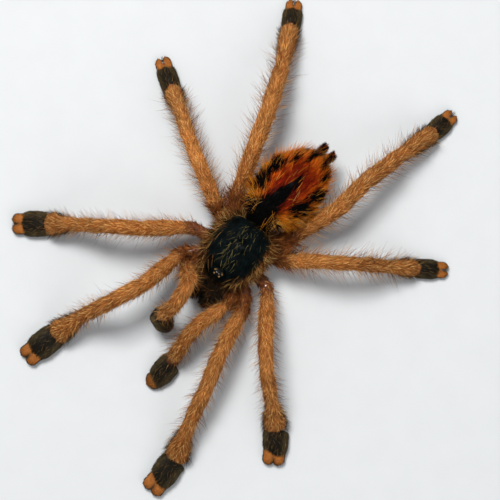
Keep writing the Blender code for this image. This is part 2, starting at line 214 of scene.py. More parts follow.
def smoothed(values, spread):
    """A row of stations, each blended with its neighbours, the two ends kept."""
    reach = max(1, int(3 * spread))
    weights = np.exp(-0.5 * (np.arange(-reach, reach + 1) / spread) ** 2)
    weights /= weights.sum()
    before = 2 * values[:1] - values[reach:0:-1]
    after = 2 * values[-1:] - values[-2:-reach - 2:-1]
    padded = np.vstack([before, values, after])
    return np.array([np.convolve(row, weights, mode="valid") for row in padded.T]).T


def ring_angles(sides):
    return np.arange(sides) * 2 * math.pi / sides


def flat_grid(first, second):
    """Every pair of the two rows' values, as two flat rows."""
    first, second = np.meshgrid(first, second, indexing="ij")
    return first.ravel(), second.ravel()


def band_faces(rings, sides, capped=True):
    """The faces of a tube of rings of points, its two ends closed."""
    around = np.arange(sides)
    following = (around + 1) % sides
    faces = []
    for low in range(0, (rings - 1) * sides, sides):
        high = low + sides
        corners = (low + around, low + following, high + following, high + around)
        faces += np.stack(corners, axis=1).tolist()
    if capped:
        faces += [around[::-1].tolist(), ((rings - 1) * sides + around).tolist()]
    return faces


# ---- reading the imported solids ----


def read_rows(items, name, width, kind=float):
    """One property of all of a mesh's points, edges or faces."""
    values = np.empty(len(items) * width, kind)
    items.foreach_get(name, values)
    return values.reshape(-1, width)


def shape_of(node):
    """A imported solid's points, in millimetres, and its edges."""
    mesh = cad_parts[node].data
    return read_rows(mesh.vertices, "co", 3) / MM, read_rows(mesh.edges, "vertices", 2, int)


def distinct(points):
    return np.unique(np.round(points, 4), axis=0)


def in_millimetres(box):
    """The two corners of a box."""
    return [np.array(corner) / MM for corner in box]


def joint_between(first, second):
    """The middle of the thin cut between two neighbouring solids."""
    a, b = (distinct(shape_of(node)[0]) for node in (first, second))
    gaps = np.linalg.norm(a[:, None] - b[None], axis=2)
    rim_a = a[gaps.min(axis=1) < RIM_GAP]
    rim_b = b[gaps.min(axis=0) < RIM_GAP]
    if not len(rim_a):
        raise RuntimeError(f"{first} and {second} are not neighbours")
    return (rim_a.mean(axis=0) + rim_b.mean(axis=0)) / 2


def ends_of(node, guess):
    """The middles of a solid's two ends, along its length, which runs roughly along the guess."""
    points = distinct(shape_of(node)[0])
    along = unit(guess)
    for _ in range(3):
        reach = points @ along
        margin = 0.06 * (reach.max() - reach.min())
        start = points[reach < reach.min() + margin].mean(axis=0)
        end = points[reach > reach.max() - margin].mean(axis=0)
        along = unit(end - start)
    return start, end


def axes(along):
    """The level way across and the upright way, for something that runs along the given way."""
    side = unit(np.cross(along, UP))
    return side, np.cross(side, along)


def oval_at(shape, origin, along):
    """The oval that a solid's section fills: middle, its two ways, half width, rise and fall."""
    points, edges = shape
    reach = (points - origin) @ along
    near, far = edges.T
    cut = (reach[near] <= 0) != (reach[far] <= 0)
    near, far = near[cut], far[cut]
    part = reach[near] / (reach[near] - reach[far])
    section = points[near] + (points[far] - points[near]) * part[:, None]
    side, up = axes(along)
    across, height = (section - origin) @ side, (section - origin) @ up
    middle = (across.max() + across.min()) / 2
    half = (across.max() - across.min()) / 2
    widest = height[np.abs(across - middle) > 0.97 * half].mean()
    centre = origin + side * middle + up * widest
    return centre, side, up, half, height.max() - widest, widest - height.min()


def moved(oval, centre, scale=1.0):
    """The same oval about another middle, scaled."""
    return [centre, oval[1], oval[2]] + [part * scale for part in oval[3:]]


# ---- forms ----


class Form:
    """A smooth body: stations along a line, each an oval with a half width, a rise and a fall."""

    def __init__(self, ovals, squareness=2.0, spread=2.5):
        centres = np.array([oval[0] for oval in ovals])
        steps = np.linalg.norm(np.diff(centres, axis=0), axis=1)
        reach = np.concatenate([[0], np.cumsum(steps)])
        self.length = reach[-1]
        self.count = max(12, int(self.length / STATION_STEP))
        self.places = np.linspace(0, self.length, self.count)
        table = np.array([np.hstack([*oval[:3], oval[3:]]) for oval in ovals])
        table = np.array([np.interp(self.places, reach, row) for row in table.T]).T
        table = smoothed(table, spread)
        self.centres = table[:, :3]
        self.sides, self.ups = unit(table[:, 3:6]), unit(table[:, 6:9])
        self.halves, self.rises, self.falls = table[:, 9:].T
        self.squareness = squareness

    def reshaped(self, change):
        """The same form with the change made to its half widths, rises and falls."""
        made = Form.__new__(Form)
        made.__dict__.update(self.__dict__)
        for name in ("halves", "rises", "falls"):
            setattr(made, name, change(getattr(self, name)))
        return made

    def inset(self, depth):
        """The same form with its surface moved in by the depth."""
        return self.reshaped(lambda values: np.maximum(values - depth, THINNEST))

    def rounded(self, start, end):
        """The same form with its two ends drawn in to domes of the given depths."""
        scale = np.ones(self.count)
        for depth, reach in ((start, self.places), (end, self.length - self.places)):
            if depth:
                left = np.clip(1 - reach / depth, 0, 1)
                scale *= np.sqrt(np.clip(1 - left ** 2, 0.002, 1))
        return self.reshaped(lambda values: values * scale)

    def at(self, v, theta):
        """Points at shares v of the length and angles theta from the side towards the top."""
        place = np.clip(v, 0, 1) * (self.count - 1)
        index = np.clip(place.astype(int), 0, self.count - 2)
        part = place - index

        def between(values):
            weight = part if values.ndim == 1 else part[..., None]
            return values[index] * (1 - weight) + values[index + 1] * weight

        cosine, sine = np.cos(theta), np.sin(theta)
        power = 2 / self.squareness
        across = np.sign(cosine) * np.abs(cosine) ** power * between(self.halves)
        height = np.sign(sine) * np.abs(sine) ** power
        height = height * np.where(sine > 0, between(self.rises), between(self.falls))
        return (between(self.centres) + column(across) * between(self.sides)
                + column(height) * between(self.ups))

    def surface(self, v, theta):
        """Points with their outward way, the way along the form, and the area they stand for."""
        step, turn = 2e-3, 5e-3
        along = self.at(np.minimum(v + step, 1), theta) - self.at(np.maximum(v - step, 0), theta)
        around = self.at(v, theta + turn) - self.at(v, theta - turn)
        normal = np.cross(along, around)
        area = np.linalg.norm(normal, axis=-1)
        normal = unit(normal)
        return self.at(v, theta), normal, along_surface(along, normal), area

    def middle_side(self):
        return self.sides[self.count // 2]

    def tube(self, rings, sides):
        """A closed tube over the form, as points and faces."""
        v, theta = flat_grid(np.linspace(0, 1, rings), ring_angles(sides))
        return self.at(v, theta), band_faces(rings, sides)


class Spots:
    """Places on a form, at shares v along it and angles theta around it."""

    def __init__(self, form, v, theta):
        self.form, self.v, self.theta = form, v, theta
        self.points, self.normals, self.along, self.area = form.surface(v, theta)
        self.cosine, self.sine = np.cos(theta), np.sin(theta)
        self.beside = np.abs(self.cosine)  # 1 at the two sides, 0 at the top and the bottom
        self.facing_up = self.normals[:, 2]

    def number(self):
        return len(self.v)

    def off(self, middle):
        """How far the places are to either side of the middle."""
        return np.abs(self.points[:, 0] - middle)


def limb_joints(limb):
    """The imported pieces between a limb's hip and its foot, and the joints at their ends."""
    pieces = ("femur", "patella", "tibia") + (("metatarsus",) if limb in LEGS else ())
    nodes = [f"{limb}_{piece}" for piece in pieces]
    chain = [UNDERSIDE] + nodes + [f"{limb}_tarsus"]
    return nodes, [joint_between(first, second) for first, second in zip(chain, chain[1:])]


def knuckle_between(first, second, centre):
    """An oval between two others, a little smaller."""
    parts = [(a + b) / 2 for a, b in zip(first, second)]
    return moved([centre, unit(parts[1]), unit(parts[2])] + parts[3:], centre, 0.93)


def body_middle():
    low, high = in_millimetres(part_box("carapace"))
    middle = (low + high) / 2
    return np.array([middle[0], middle[1], low[2]])


def limb_form(limb):
    """A limb from inside its hip to its ankle, drawn in a little where its pieces meet."""
    nodes, joints = limb_joints(limb)
    ovals = []
    for node, start, end in zip(nodes, joints, joints[1:]):
        shape, along = shape_of(node), unit(end - start)
        cuts = [oval_at(shape, start + (end - start) * part, along) for part in SECTION_SHARES]
        if ovals:
            ovals.append(knuckle_between(ovals[-1], cuts[0], start))
        ovals += cuts
    inward = unit((joints[0] - body_middle()) * LEVEL) * -0.9
    onward = unit(joints[-1] - joints[-2]) * 0.25
    hips = [moved(ovals[0], joints[0] + inward), moved(ovals[0], joints[0])]
    ankles = [moved(ovals[-1], joints[-1]), moved(ovals[-1], joints[-1] + onward, 0.85)]
    return Form(hips + ovals + ankles)


def limb_flesh(limb):
    """A limb's form under its coat, which thins out towards the hip."""
    form = limb_form(limb)
    thick = 0.3 + 0.7 * ease(np.linspace(0, 1, form.count), 0.05, 0.16)
    return form.inset(coat_size("leg_depth") * thick)


def foot_line(limb):
    """A foot's ankle, its way, and where it starts and ends along that way."""
    points = distinct(shape_of(f"{limb}_tarsus")[0])
    ankle = limb_joints(limb)[1][-1]
    start, end = ends_of(f"{limb}_tarsus", points.mean(axis=0) - ankle)
    along = unit(end - start)
    if abs(along[2]) < 0.3:
        along = unit(along * LEVEL)
    reach = (points - ankle) @ along
    return ankle, along, reach.min(), reach.max()


def foot_cuts(limb):
    """A way to cut a foot's solid across at a place, with its way, start and end."""
    ankle, along, low, high = foot_line(limb)
    shape = shape_of(f"{limb}_tarsus")
    middle = distinct(shape[0]).mean(axis=0)
    line = middle + along * ((ankle - middle) @ along)
    return lambda place: oval_at(shape, line + along * place, along), along, low, high


def foot_form(limb):
    """The foot up to its toe pads."""
    cut, along, low, high = foot_cuts(limb)
    reach = 0.82 if limb in LEGS else 0.90
    places = np.linspace(max(low, 0.0) + 0.45, low + (high - low) * reach, 12)
    ovals = [cut(place) for place in places]
    start = moved(ovals[0], ovals[0][0] - along * places[0], 0.94)
    return Form([start] + ovals, squareness=2.3)


def foot_flesh(limb):
    return foot_form(limb).inset(coat_size("foot_depth")).rounded(0, 0.9)


def toe_forms(limb):
    """The rounded pads at a foot's tip: two on a leg, close together, and one on a palp."""
    cut, along, low, high = foot_cuts(limb)
    span = high - low
    centre, side, up, half, rise, fall = cut(low + 0.80 * span)
    lobes, wide, dome_depth = (0,), 0.94, 0.9
    if limb in LEGS:
        instep = cut(low + 0.35 * span)[0]
        along = unit((centre - instep) * LEVEL)
        side, up = axes(along)
        lobes, wide, dome_depth = (1, -1), 0.66, 0.65
    pads = []
    for lobe in lobes:
        ovals = []
        for place in np.linspace(-0.20, 0.20, 12):
            spot = centre + along * (place * span) + side * (lobe * 0.42 * half)
            ovals.append([spot, side, up, half * wide, rise * 0.98, fall])
        pads.append(Form(ovals, squareness=2.4, spread=1.0).rounded(0.4, dome_depth))
        pads[-1].lobe = lobe
    return pads


def toe_ways(spots):
    """How far a pad's surface faces the other pad, and how far it faces up."""
    pad = spots.form
    inward = -pad.lobe * dot(spots.normals, pad.middle_side())
    return inward, dot(spots.normals, pad.ups[pad.count // 2])


def trunk_form(node, guess=BACK, squareness=2.0, cuts=8):
    """A trunk solid from end to end, its ends closed in."""
    start, end = ends_of(node, guess)
    along = unit(end - start)
    shape = shape_of(node)
    turns = 0.5 - 0.5 * np.cos(np.linspace(0.06, math.pi - 0.06, cuts))
    ovals = [oval_at(shape, start + (end - start) * part, along) for part in turns]
    return Form(ovals, squareness, spread=1.2)


def abdomen_form():
    flesh = trunk_form("abdomen", squareness=2.1, cuts=22).inset(coat_size("abdomen_depth"))
    return flesh.rounded(0.5, 0.9)


def jaw_form(side):
    jaw = trunk_form(f"chelicera_{side}", JAW_WAY, squareness=2.2, cuts=12)
    return jaw.inset(0.18).rounded(0.3, 0.5)


def spinneret_form(side):
    return trunk_form(f"spinneret_{side}").inset(0.12).rounded(0.1, 0.35)


def plate_form():
    form = trunk_form("carapace", squareness=2.2, cuts=26)
    return form.inset(coat_size("plate_depth")).rounded(1.0, 1.0)


# ---- meshes ----


def add_object(name, data):
    made = bpy.data.objects.new(name, data)
    bpy.context.scene.collection.objects.link(made)
    return made


def smooth_faces(mesh):
    mesh.polygons.foreach_set("use_smooth", np.ones(len(mesh.polygons), bool))


def mesh_object(name, points, faces, smooth=True):
    """An object of points in millimetres."""
    mesh = bpy.data.meshes.new(name)
    mesh.from_pydata((np.asarray(points) * MM).tolist(), [], faces)
    if smooth:
        smooth_faces(mesh)
    mesh.update()
    return add_object(name, mesh)


def finish_piece(piece, material, slot, *nodes):
    """Gives a piece its material and body, and hides the solids that it stands for; its slot is not
    used.
    """
    piece.data.materials.append(material)
    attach(piece, "root")
    if nodes:
        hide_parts(*nodes)
    return piece


def flat_floats(rows):
    return np.asarray(rows, np.float32).ravel()


def paint(mesh, name, colours):
    """Writes a colour for each point."""
    layer = mesh.color_attributes.new(name, "FLOAT_COLOR", "POINT")
    rows = np.ones((len(mesh.vertices), 4), np.float32)
    rows[:, :3] = np.clip(colours, 0, 1)
    layer.data.foreach_set("color", rows.ravel())


def mark(mesh, marks, grain):
    """Writes each point's colour and its place in the fur's grain."""
    paint(mesh, "marks", marks)
    layer = mesh.attributes.new("grain", "FLOAT_VECTOR", "POINT")
    layer.data.foreach_set("vector", flat_floats(grain))


# ---- hair ----


def even_spread(amount, rng):
    """A spread of places that leaves no bare patches, with a little disorder."""
    index = np.arange(amount)
    v = (0.5 + index * 0.7548776662) % 1.0
    turn = (0.5 + index * 0.5698402910) % 1.0
    return 0.004 + 0.992 * v, 2 * math.pi * (turn + rng.normal(0, 0.004, amount))


def scatter(form, amount, seed, density=None):
    """Even places on a form, thinned where the density is low."""
    rng = np.random.default_rng(seed)

    def weighed(number):
        spots = Spots(form, *even_spread(number, rng))
        thinned = 1 if density is None else np.clip(density(spots), 0, 1)
        return spots, spots.area * thinned

    weight = weighed(6000)[1]
    spots, weight = weighed(int(amount * weight.max() / weight.mean()))
    kept = rng.random(len(weight)) < weight / weight.max()
    return Spots(form, spots.v[kept], spots.theta[kept])


def blend_of(rng, spots, *tones):
    """A colour for each hair, drawn from between neighbouring tones of the list."""
    place = rng.random(spots.number()) * (len(tones) - 1)
    index = np.minimum(place.astype(int), len(tones) - 2)
    tones = np.array(tones)
    return mix(tones[index], tones[index + 1], place - index)


def jitter(rng, colours, amount):
    """Makes each hair a little lighter or darker."""
    return colours * column(np.exp(rng.normal(0, amount, len(colours))))


def all_of(tone, number):
    return np.broadcast_to(tone, (number, 3))


def hair_faces(segments):
    """One hair's face corners, and where each face starts among them."""
    corners, first = [], []
    for ring in range(segments):
        low, high = ring * HAIR_SIDES, (ring + 1) * HAIR_SIDES
        for side in range(HAIR_SIDES):
            following = (side + 1) % HAIR_SIDES
            first.append(len(corners))
            corners += [low + side, low + following]
            corners += [high + following, high + side] if ring < segments - 1 else [high]
    return np.array(corners), np.array(first)


def map_places(spots, left, right, low, high):
    """Where roots lie on the unwrap of their form: around it one way, along it the other."""
    around = (spots.theta / (2 * math.pi)) % 1.0
    return np.stack([left + (right - left) * around, low + (high - low) * spots.v], axis=1)


class Coat:
    """The solid hairs of one piece, gathered before they become one mesh."""

    def __init__(self, name, seed):
        self.name = name
        self.rng = np.random.default_rng(seed)
        self.blocks = []

    def grow(self, spots, shades, length, width, rise, droop, flows=None, upright=False,
             sink=0.05, dark=0.6, light=1.0, segments=2, wander=0.12, cell=WHOLE_MAP, maps=None):
        """Grows hairs that leave the skin at the rise angle and bend over by the droop, both in
        radians. They are dark times their shade at the root and light times it at the tip. An
        upright hair's rise is measured from level, and the cell is its form's part of the map."""
        normals = np.broadcast_to(UP, spots.points.shape) if upright else spots.normals
        flows = spots.along if flows is None else flows
        maps = map_places(spots, *cell) if maps is None else maps
        roots = spots.points - spots.normals * sink
        number, rng = len(roots), self.rng
        lengths = np.broadcast_to(length, number) * rng.uniform(0.75, 1.2, number)
        widths = np.broadcast_to(width, number) * rng.uniform(0.8, 1.15, number)
        rises = np.broadcast_to(rise, number) * rng.uniform(0.6, 1.4, number)
        sideways = unit(np.cross(flows, normals))
        flows = unit(flows + sideways * column(rng.normal(0, wander, number)))
        first = flows * column(np.cos(rises)) + normals * column(np.sin(rises))
        bent = rises - np.broadcast_to(droop, number)
        second = flows * column(np.cos(bent)) + normals * column(np.sin(bent))
        second = unit(second + sideways * column(rng.normal(0, wander, number)))
        knee = roots + first * column(lengths * 0.5)
        tip = knee + second * column(lengths * 0.5)
        across = unit(np.cross(first, normals))
        upward = np.cross(across, first)
        rings, heights = [], []
        for t in np.arange(segments) / segments:
            middle = roots * (1 - t) ** 2 + knee * 2 * t * (1 - t) + tip * t * t
            radius = 0.5 * widths * (1 - t) ** 0.6
            for angle in ring_angles(HAIR_SIDES) + 0.5:
                offset = across * math.cos(angle) + upward * math.sin(angle)
                rings.append(middle + offset * column(radius))
                heights.append(t)
        points = np.stack(rings + [tip], axis=1)
        points[..., 2] = np.maximum(points[..., 2], FLOOR_GAP)
        heights = np.array(heights + [1.0])
        # painted shade: the darker roots stand for the shade down among the hairs
        shades = mix((shades * dark)[:, None], (shades * light)[:, None], heights[None])
        sides = np.arange(len(heights)) % HAIR_SIDES / HAIR_SIDES
        corners = np.stack([sides, heights], axis=1)
        places = maps[:, None] + (corners - 0.5)[None] * TUFT_PATCH
        self.blocks.append((segments, points, shades, places))

    def build(self, material, slot):
        """Makes the one mesh of all the hairs, with its map and colours."""
        points, shades, loops, starts, places = [], [], [], [], []
        point_base = loop_base = 0
        for segments, block, block_shades, block_places in self.blocks:
            corners, first = hair_faces(segments)
            number, size = block.shape[:2]
            hairs = np.arange(number)[:, None]
            loops.append((point_base + hairs * size + corners).ravel())
            starts.append((loop_base + hairs * len(corners) + first).ravel())
            points.append(block.reshape(-1, 3))
            shades.append(block_shades.reshape(-1, 3))
            places.append(block_places[:, corners].reshape(-1, 2))
            point_base += number * size
            loop_base += number * len(corners)
        points, loops, starts = (np.concatenate(part) for part in (points, loops, starts))
        mesh = bpy.data.meshes.new(self.name)
        mesh.vertices.add(len(points))
        mesh.vertices.foreach_set("co", flat_floats(points * MM))
        mesh.loops.add(len(loops))
        mesh.loops.foreach_set("vertex_index", loops.astype(np.int32))
        mesh.polygons.add(len(starts))
        mesh.polygons.foreach_set("loop_start", starts.astype(np.int32))
        smooth_faces(mesh)
        mesh.update(calc_edges=True)
        unwrap = mesh.uv_layers.new(name="OFBake")
        places = np.clip(np.concatenate(places), 0.0005, 0.9995)
        unwrap.uv.foreach_set("vector", flat_floats(places))
        paint(mesh, "coat", np.concatenate(shades))
        return finish_piece(add_object(self.name, mesh), material, slot)


# ---- markings, shared by skin and coat ----


def leg_marks(limb, spots):
    """Amber over russet, with olive brushes under the last piece and bare cuticle by the hip."""
    tones, v, below = palette(), spots.v, -spots.sine
    streak = 0.5 + 0.16 * ripple(spots.points, 1.6, 11) + 0.16 * ripple(spots.points, 5.0, 12)
    shades = mix(tones.russet, tones.amber, np.clip(streak, 0, 1))
    foot_start = 0.84 if limb in LEGS else 0.76
    late = ease(v, foot_start - 0.10, foot_start + 0.1)
    # painted shade: the hair is darker on the limb's underside
    shades = shades * column(1 - 0.2 * late) * column(1 - 0.3 * ease(below, 0.0, 0.8))
    shades = mix(shades, tones.olive * 1.6, late * ease(below, -0.25, 0.35))
    if limb in PALPS:
        shades = mix(shades, tones.olive * 0.6, ease(v, 0.93, 0.98))
    return mix(shades, tones.cuticle * 1.3, 0.85 * (1 - ease(v, 0.05, 0.14)))


def foot_marks(spots):
    """Soot along the top, olive brushes at the sides."""
    tones = palette()
    shades = mix(tones.olive * 0.28, tones.olive * 1.7, ease(spots.beside, 0.30, 0.85))
    shades = shades * column(np.clip(0.9 + 0.2 * ripple(spots.points, 0.9, 21), 0.4, 1.5))
    return mix(shades, tones.toe * 0.6, ease(spots.v, 0.90, 1.0) * ease(spots.sine, 0.3, 0.7))


def toe_marks(limb, spots):
    """Orange above, with an olive rim round the sole and painted shade darkening the notch between
    two pads.
    """
    tones, v = palette(), spots.v
    inward, upward = toe_ways(spots)
    # painted shade: the notch between the two pads turns olive instead of orange
    above = ease(upward, 0.48, 0.70) * (1 - ease(inward, 0.36, 0.52) * ease(v, 0.48, 0.64))
    above = above * (ease(v, 0.02, 0.14) if limb in LEGS else ease(v, 0.45, 0.62))
    # darker towards the tip, and painted shade darkens the orange beside the crease between the
    # pads
    crease_shade_and_tip_fade = 1.15 - 0.3 * ease(v, 0.5, 0.9)
    crease_shade_and_tip_fade = crease_shade_and_tip_fade * (1 - 0.4 * ease(inward, 0.05, 0.35) * ease(v, 0.3, 0.6))
    orange = tones.toe * (1.0 if limb in LEGS else 0.7) * column(crease_shade_and_tip_fade)
    return mix(tones.olive * 1.2, orange, above)


# The abdomen's black stripe: its half width at shares of the way back.
STRIPE_PLACES = (0.0, 0.10, 0.35, 0.52, 0.64, 0.72, 0.80, 1.0)
STRIPE_WIDTHS = (1.9, 1.2, 0.72, 0.46, 0.32, 0.14, 0.0, 0.0)

# The black patches down each side of the abdomen: the share of the way back, how far out, half
# the length, half the width, and how far the patch leans outwards as it runs back, in radians.
PATCHES = (
    (0.05, 2.1, 0.8, 0.45, 0.6),
    (0.34, 2.45, 1.45, 0.80, 0.35),
    (0.58, 2.65, 1.2, 0.74, 0.2),
    (0.79, 1.9, 0.8, 0.45, 0.0),
    (0.91, 0.85, 0.9, 0.42, 0.0),
)
RIGHT_PATCHES_AHEAD = 0.08  # how much further ahead the right side's patches lie


def abdomen_darkness(spots):
    """How black the abdomen is: its stripe, its front, and the patches down its sides."""
    v, form = spots.v, spots.form
    out = spots.beside * np.interp(v * (form.count - 1), np.arange(form.count), form.halves)
    ragged = 0.13 * ripple(spots.points, 0.6, 31) + 0.08 * ripple(spots.points, 1.5, 32)
    width = np.interp(v, STRIPE_PLACES, STRIPE_WIDTHS)
    stripe = 1 - ease(out + ragged, width - 0.14, width + 0.16)
    dark = np.maximum(stripe * (width > 0.02), 1 - ease(v + 0.1 * ragged, 0.015, 0.05))
    right = (spots.cosine < 0) * RIGHT_PATCHES_AHEAD * (v < 0.85)
    for back, beside, long, wide, lean in PATCHES:
        ahead, across = (v - back + right) * form.length, out - beside
        on = across * math.sin(lean) + ahead * math.cos(lean)
        off = across * math.cos(lean) - ahead * math.sin(lean)
        far = np.sqrt((on / long) ** 2 + (off / wide) ** 2) + 1.1 * ragged
        dark = np.maximum(dark, 1 - ease(far, 0.75, 1.15))
    return dark * (1 - ease(-spots.sine, 0.15, 0.35))


def abdomen_marks(spots):
    """Crimson by the black stripe, flame further out, gold at the front and the edges."""
    tones, v, above = palette(), spots.v, spots.sine
    out = np.where(above > 0, spots.beside, 1.0 + 0.4 * np.abs(above))
    ragged = out + 0.14 * ripple(spots.points, 1.1, 33)
    warm = np.maximum(ease(ragged, 0.30, 0.8), 0.7 * ease(v, 0.62, 0.85))
    front = 1 - ease(v, 0.10, 0.32)
    golden = 0.7 * ease(out, 0.72, 1.0) * (1 - 0.6 * ease(v, 0.4, 0.8))
    golden = golden + 0.6 * front * ease(out, 0.35, 0.7) + 0.25 * ease(v, 0.75, 0.9)
    shades = mix(mix(tones.crimson, tones.flame, warm), tones.gold, np.clip(golden, 0, 0.9))
    return mix(shades, tones.russet * 0.7, ease(-above, 0.2, 0.7))


def rim_closeness(spots):
    """1 at the plate's rim, all the way round, and less further in."""
    return np.maximum(spots.beside, np.abs(2 * spots.v - 1) ** 1.5)


def plate_marks(spots):
    """Nearly black with a green tinge, olive at the rim."""
    tones = palette()
    rim = 0.75 * ease(rim_closeness(spots), 0.70, 0.98)
    shades = mix(tones.plate, tones.olive * 0.8, rim)
    return shades * column(np.clip(1 + 0.35 * ripple(spots.points, 1.2, 41), 0.4, 2))


# ---- the skin ----


HARD_NODES = ("carapace", "eye_mound", "fang_left", "fang_right")  # these lie outside the skin


def flesh_forms():
    """Every form that the one skin is made from, each with its kind and its limb."""
    forms = []
    for limb in LIMBS:
        forms += [("leg", limb, limb_flesh(limb)), ("foot", limb, foot_flesh(limb))]
        forms += [("toe", limb, pad.inset(coat_size("foot_depth"))) for pad in toe_forms(limb)]
    forms += [("abdomen", None, abdomen_form()), ("waist", None, trunk_form("pedicel"))]
    for side in SIDES:
        forms += [("jaw", None, jaw_form(side)), ("spinneret", None, spinneret_form(side))]
    return forms


def flesh_bridges():
    """Short forms that join neighbours across the thin cuts, so that the skin has no gaps."""
    waist_start, waist_end = ends_of("pedicel", BACK)
    abdomen_start, abdomen_end = ends_of("abdomen", BACK)
    nape = abdomen_start * LEVEL + (0, 0.9, waist_end[2])
    bridges = [(waist_start - (0, 0.6, 0), nape, 0.42)]
    for side in SIDES:
        start, end = ends_of(f"spinneret_{side}", BACK)
        inside = start + (abdomen_end - start) * 0.5 - (0, 0.9, 0)
        bridges.append((inside, end - (end - start) * 0.4, 0.33))
        root, tip = ends_of(f"chelicera_{side}", JAW_WAY)
        bridges.append((root + (root[0] * -0.2, 1.3, 0.1), root + (tip - root) * 0.4, 0.62))
    for limb in LIMBS:
        ankle, along = foot_line(limb)[:2]
        shin = ankle - unit(ankle - limb_joints(limb)[1][-2]) * 0.5
        bridges.append((shin, ankle + along * 1.1 - (0, 0, 0.25), 0.52))
    forms = []
    for start, end, radius in bridges:
        oval = [start, *axes(unit(end - start)), radius, radius, radius]
        parts = np.linspace(0, 1, 5)
        forms.append(Form([moved(oval, start + (end - start) * part) for part in parts]))
    return forms


def underside_shell():
    """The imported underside, its points moved in by the coat's depth."""
    points = np.round(shape_of(UNDERSIDE)[0], 4)
    points, same = np.unique(points, axis=0, return_inverse=True)
    same = same.ravel()
    normals, faces = np.zeros_like(points), []
    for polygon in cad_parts[UNDERSIDE].data.polygons:
        corners = [int(same[index]) for index in polygon.vertices]
        if len(set(corners)) >= 3:
            faces.append(corners)
            normals[corners] += np.array(polygon.normal) * polygon.area
    return points - unit(normals) * coat_size("body_depth"), faces


def one_mesh(parts):
    points, faces, base = [], [], 0
    for part_points, part_faces in parts:
        points.append(part_points)
        faces += [[corner + base for corner in face] for face in part_faces]
        base += len(part_points)
    return np.concatenate(points), faces


def voxel_skin(points, faces):
    """Melts overlapping closed tubes into one even skin, at a thousand times life size."""
    mesh = bpy.data.meshes.new("flesh")
    mesh.from_pydata(points.tolist(), [], faces)
    flesh = add_object("flesh", mesh)
    remesh = flesh.modifiers.new("one skin", "REMESH")
    remesh.mode, remesh.voxel_size = "VOXEL", SKIN_VOXEL
    smooth = flesh.modifiers.new("soft", "SMOOTH")
    smooth.factor, smooth.iterations = 0.5, 6
    graph = bpy.context.evaluated_depsgraph_get()
    skin = bpy.data.meshes.new_from_object(flesh.evaluated_get(graph))
    bpy.data.objects.remove(flesh)
    return skin


def skin_shades(kind, limb, spots):
    tones = palette()
    if kind == "leg":
        return leg_marks(limb, spots) * 0.40 + tones.cuticle * 0.25
    if kind == "foot":
        return foot_marks(spots) * 0.8
    if kind == "toe":
        return toe_marks(limb, spots) * 0.6
    if kind == "abdomen":
        return mix(abdomen_marks(spots) * 0.35, tones.soot, abdomen_darkness(spots))
    return all_of(tones.soot * (2 if kind == "waist" else 1.5), spots.number())


def skin_samples(forms):
    """Points all over the forms, each with the skin's colour, its place in the fur's grain and how
    bare it is."""
    rows = []
    angles = np.linspace(0, 2 * math.pi, 39, endpoint=False)
    for kind, limb, form in forms:
        theta, v = flat_grid(angles, np.linspace(0.002, 0.998, max(24, form.count)))
        spots = Spots(form, v, theta)
        girth = float(np.mean(form.halves + form.rises))
        apart = np.full(len(v), len(rows) * 3.7)  # keeps the forms' grains unlike one another
        grain = np.stack([theta * girth / 2, v * form.length, apart], axis=1)
        bare = 0.8 * (1 - ease(v, 0.10, 0.18)) if kind == "leg" else np.zeros(len(v))
        shades = skin_shades(kind, limb, spots)
        rows.append(np.hstack([spots.points, shades, grain, column(bare)]))
    return np.vstack(rows)


def make_skin():
    """The one skin, which takes its look at each point from the nearest sample."""
    forms = flesh_forms()
    parts = [form.tube(max(10, form.count // 2), 24) for _, _, form in forms]
    parts += [form.tube(5, 12) for form in flesh_bridges()]
    shell, shell_faces = underside_shell()
    mesh = voxel_skin(*one_mesh(parts + [(shell, shell_faces)]))
    brown = all_of(palette().cuticle * 0.45, len(shell))
    polish = np.full((len(shell), 1), 0.5)
    shell_samples = np.hstack([shell, brown, shell * LEVEL, polish])
    samples = np.vstack([skin_samples(forms), shell_samples])
    tree = KDTree(len(samples))
    for index, row in enumerate(samples[:, :3]):
        tree.insert(row, index)
    tree.balance()
    points = read_rows(mesh.vertices, "co", 3)
    near = samples[[tree.find(point)[1] for point in points]]
    mesh.vertices.foreach_set("co", flat_floats(points * MM))
    smooth_faces(mesh)
    mark(mesh, near[:, 3:6], near[:, 6:9])
    bare = mesh.attributes.new("bare", "FLOAT", "POINT")
    bare.data.foreach_set("value", flat_floats(near[:, 9]))
    mesh.update()
    mesh.name = "skin"
    flesh = [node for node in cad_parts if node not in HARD_NODES]
    finish_piece(add_object("skin", mesh), skin_material(), "leg", *flesh)


# ---- materials ----


def feed(tree, node, inputs):
    """Sets a node's inputs, each to a value, to an output or to another node's first output."""
    for key, value in inputs.items():
        if isinstance(value, bpy.types.Node):
            value = value.outputs[0]
        if isinstance(value, bpy.types.NodeSocket):
            tree.links.new(value, node.inputs[key])
        else:
            node.inputs[key].default_value = value


def put(tree, kind, inputs, **settings):
    """Adds a node with its settings and inputs."""
    node = tree.nodes.new(f"ShaderNode{kind}")
    for name, value in settings.items():
        setattr(node, name, value)
    feed(tree, node, inputs)
    return node


def attribute(tree, name, output):
    return put(tree, "Attribute", {}, attribute_name=name).outputs[output]


def object_noise(tree, **inputs):
    place = put(tree, "TexCoord", {}).outputs["Object"]
    return put(tree, "TexNoise", {"Vector": place, **inputs})


def ranged(tree, value, low, high, **inputs):
    return put(tree, "MapRange", {"Value": value, "To Min": low, "To Max": high, **inputs})


def scaled(tree, colour, scale):
    return put(tree, "VectorMath", {0: colour, "Scale": scale}, operation="SCALE")


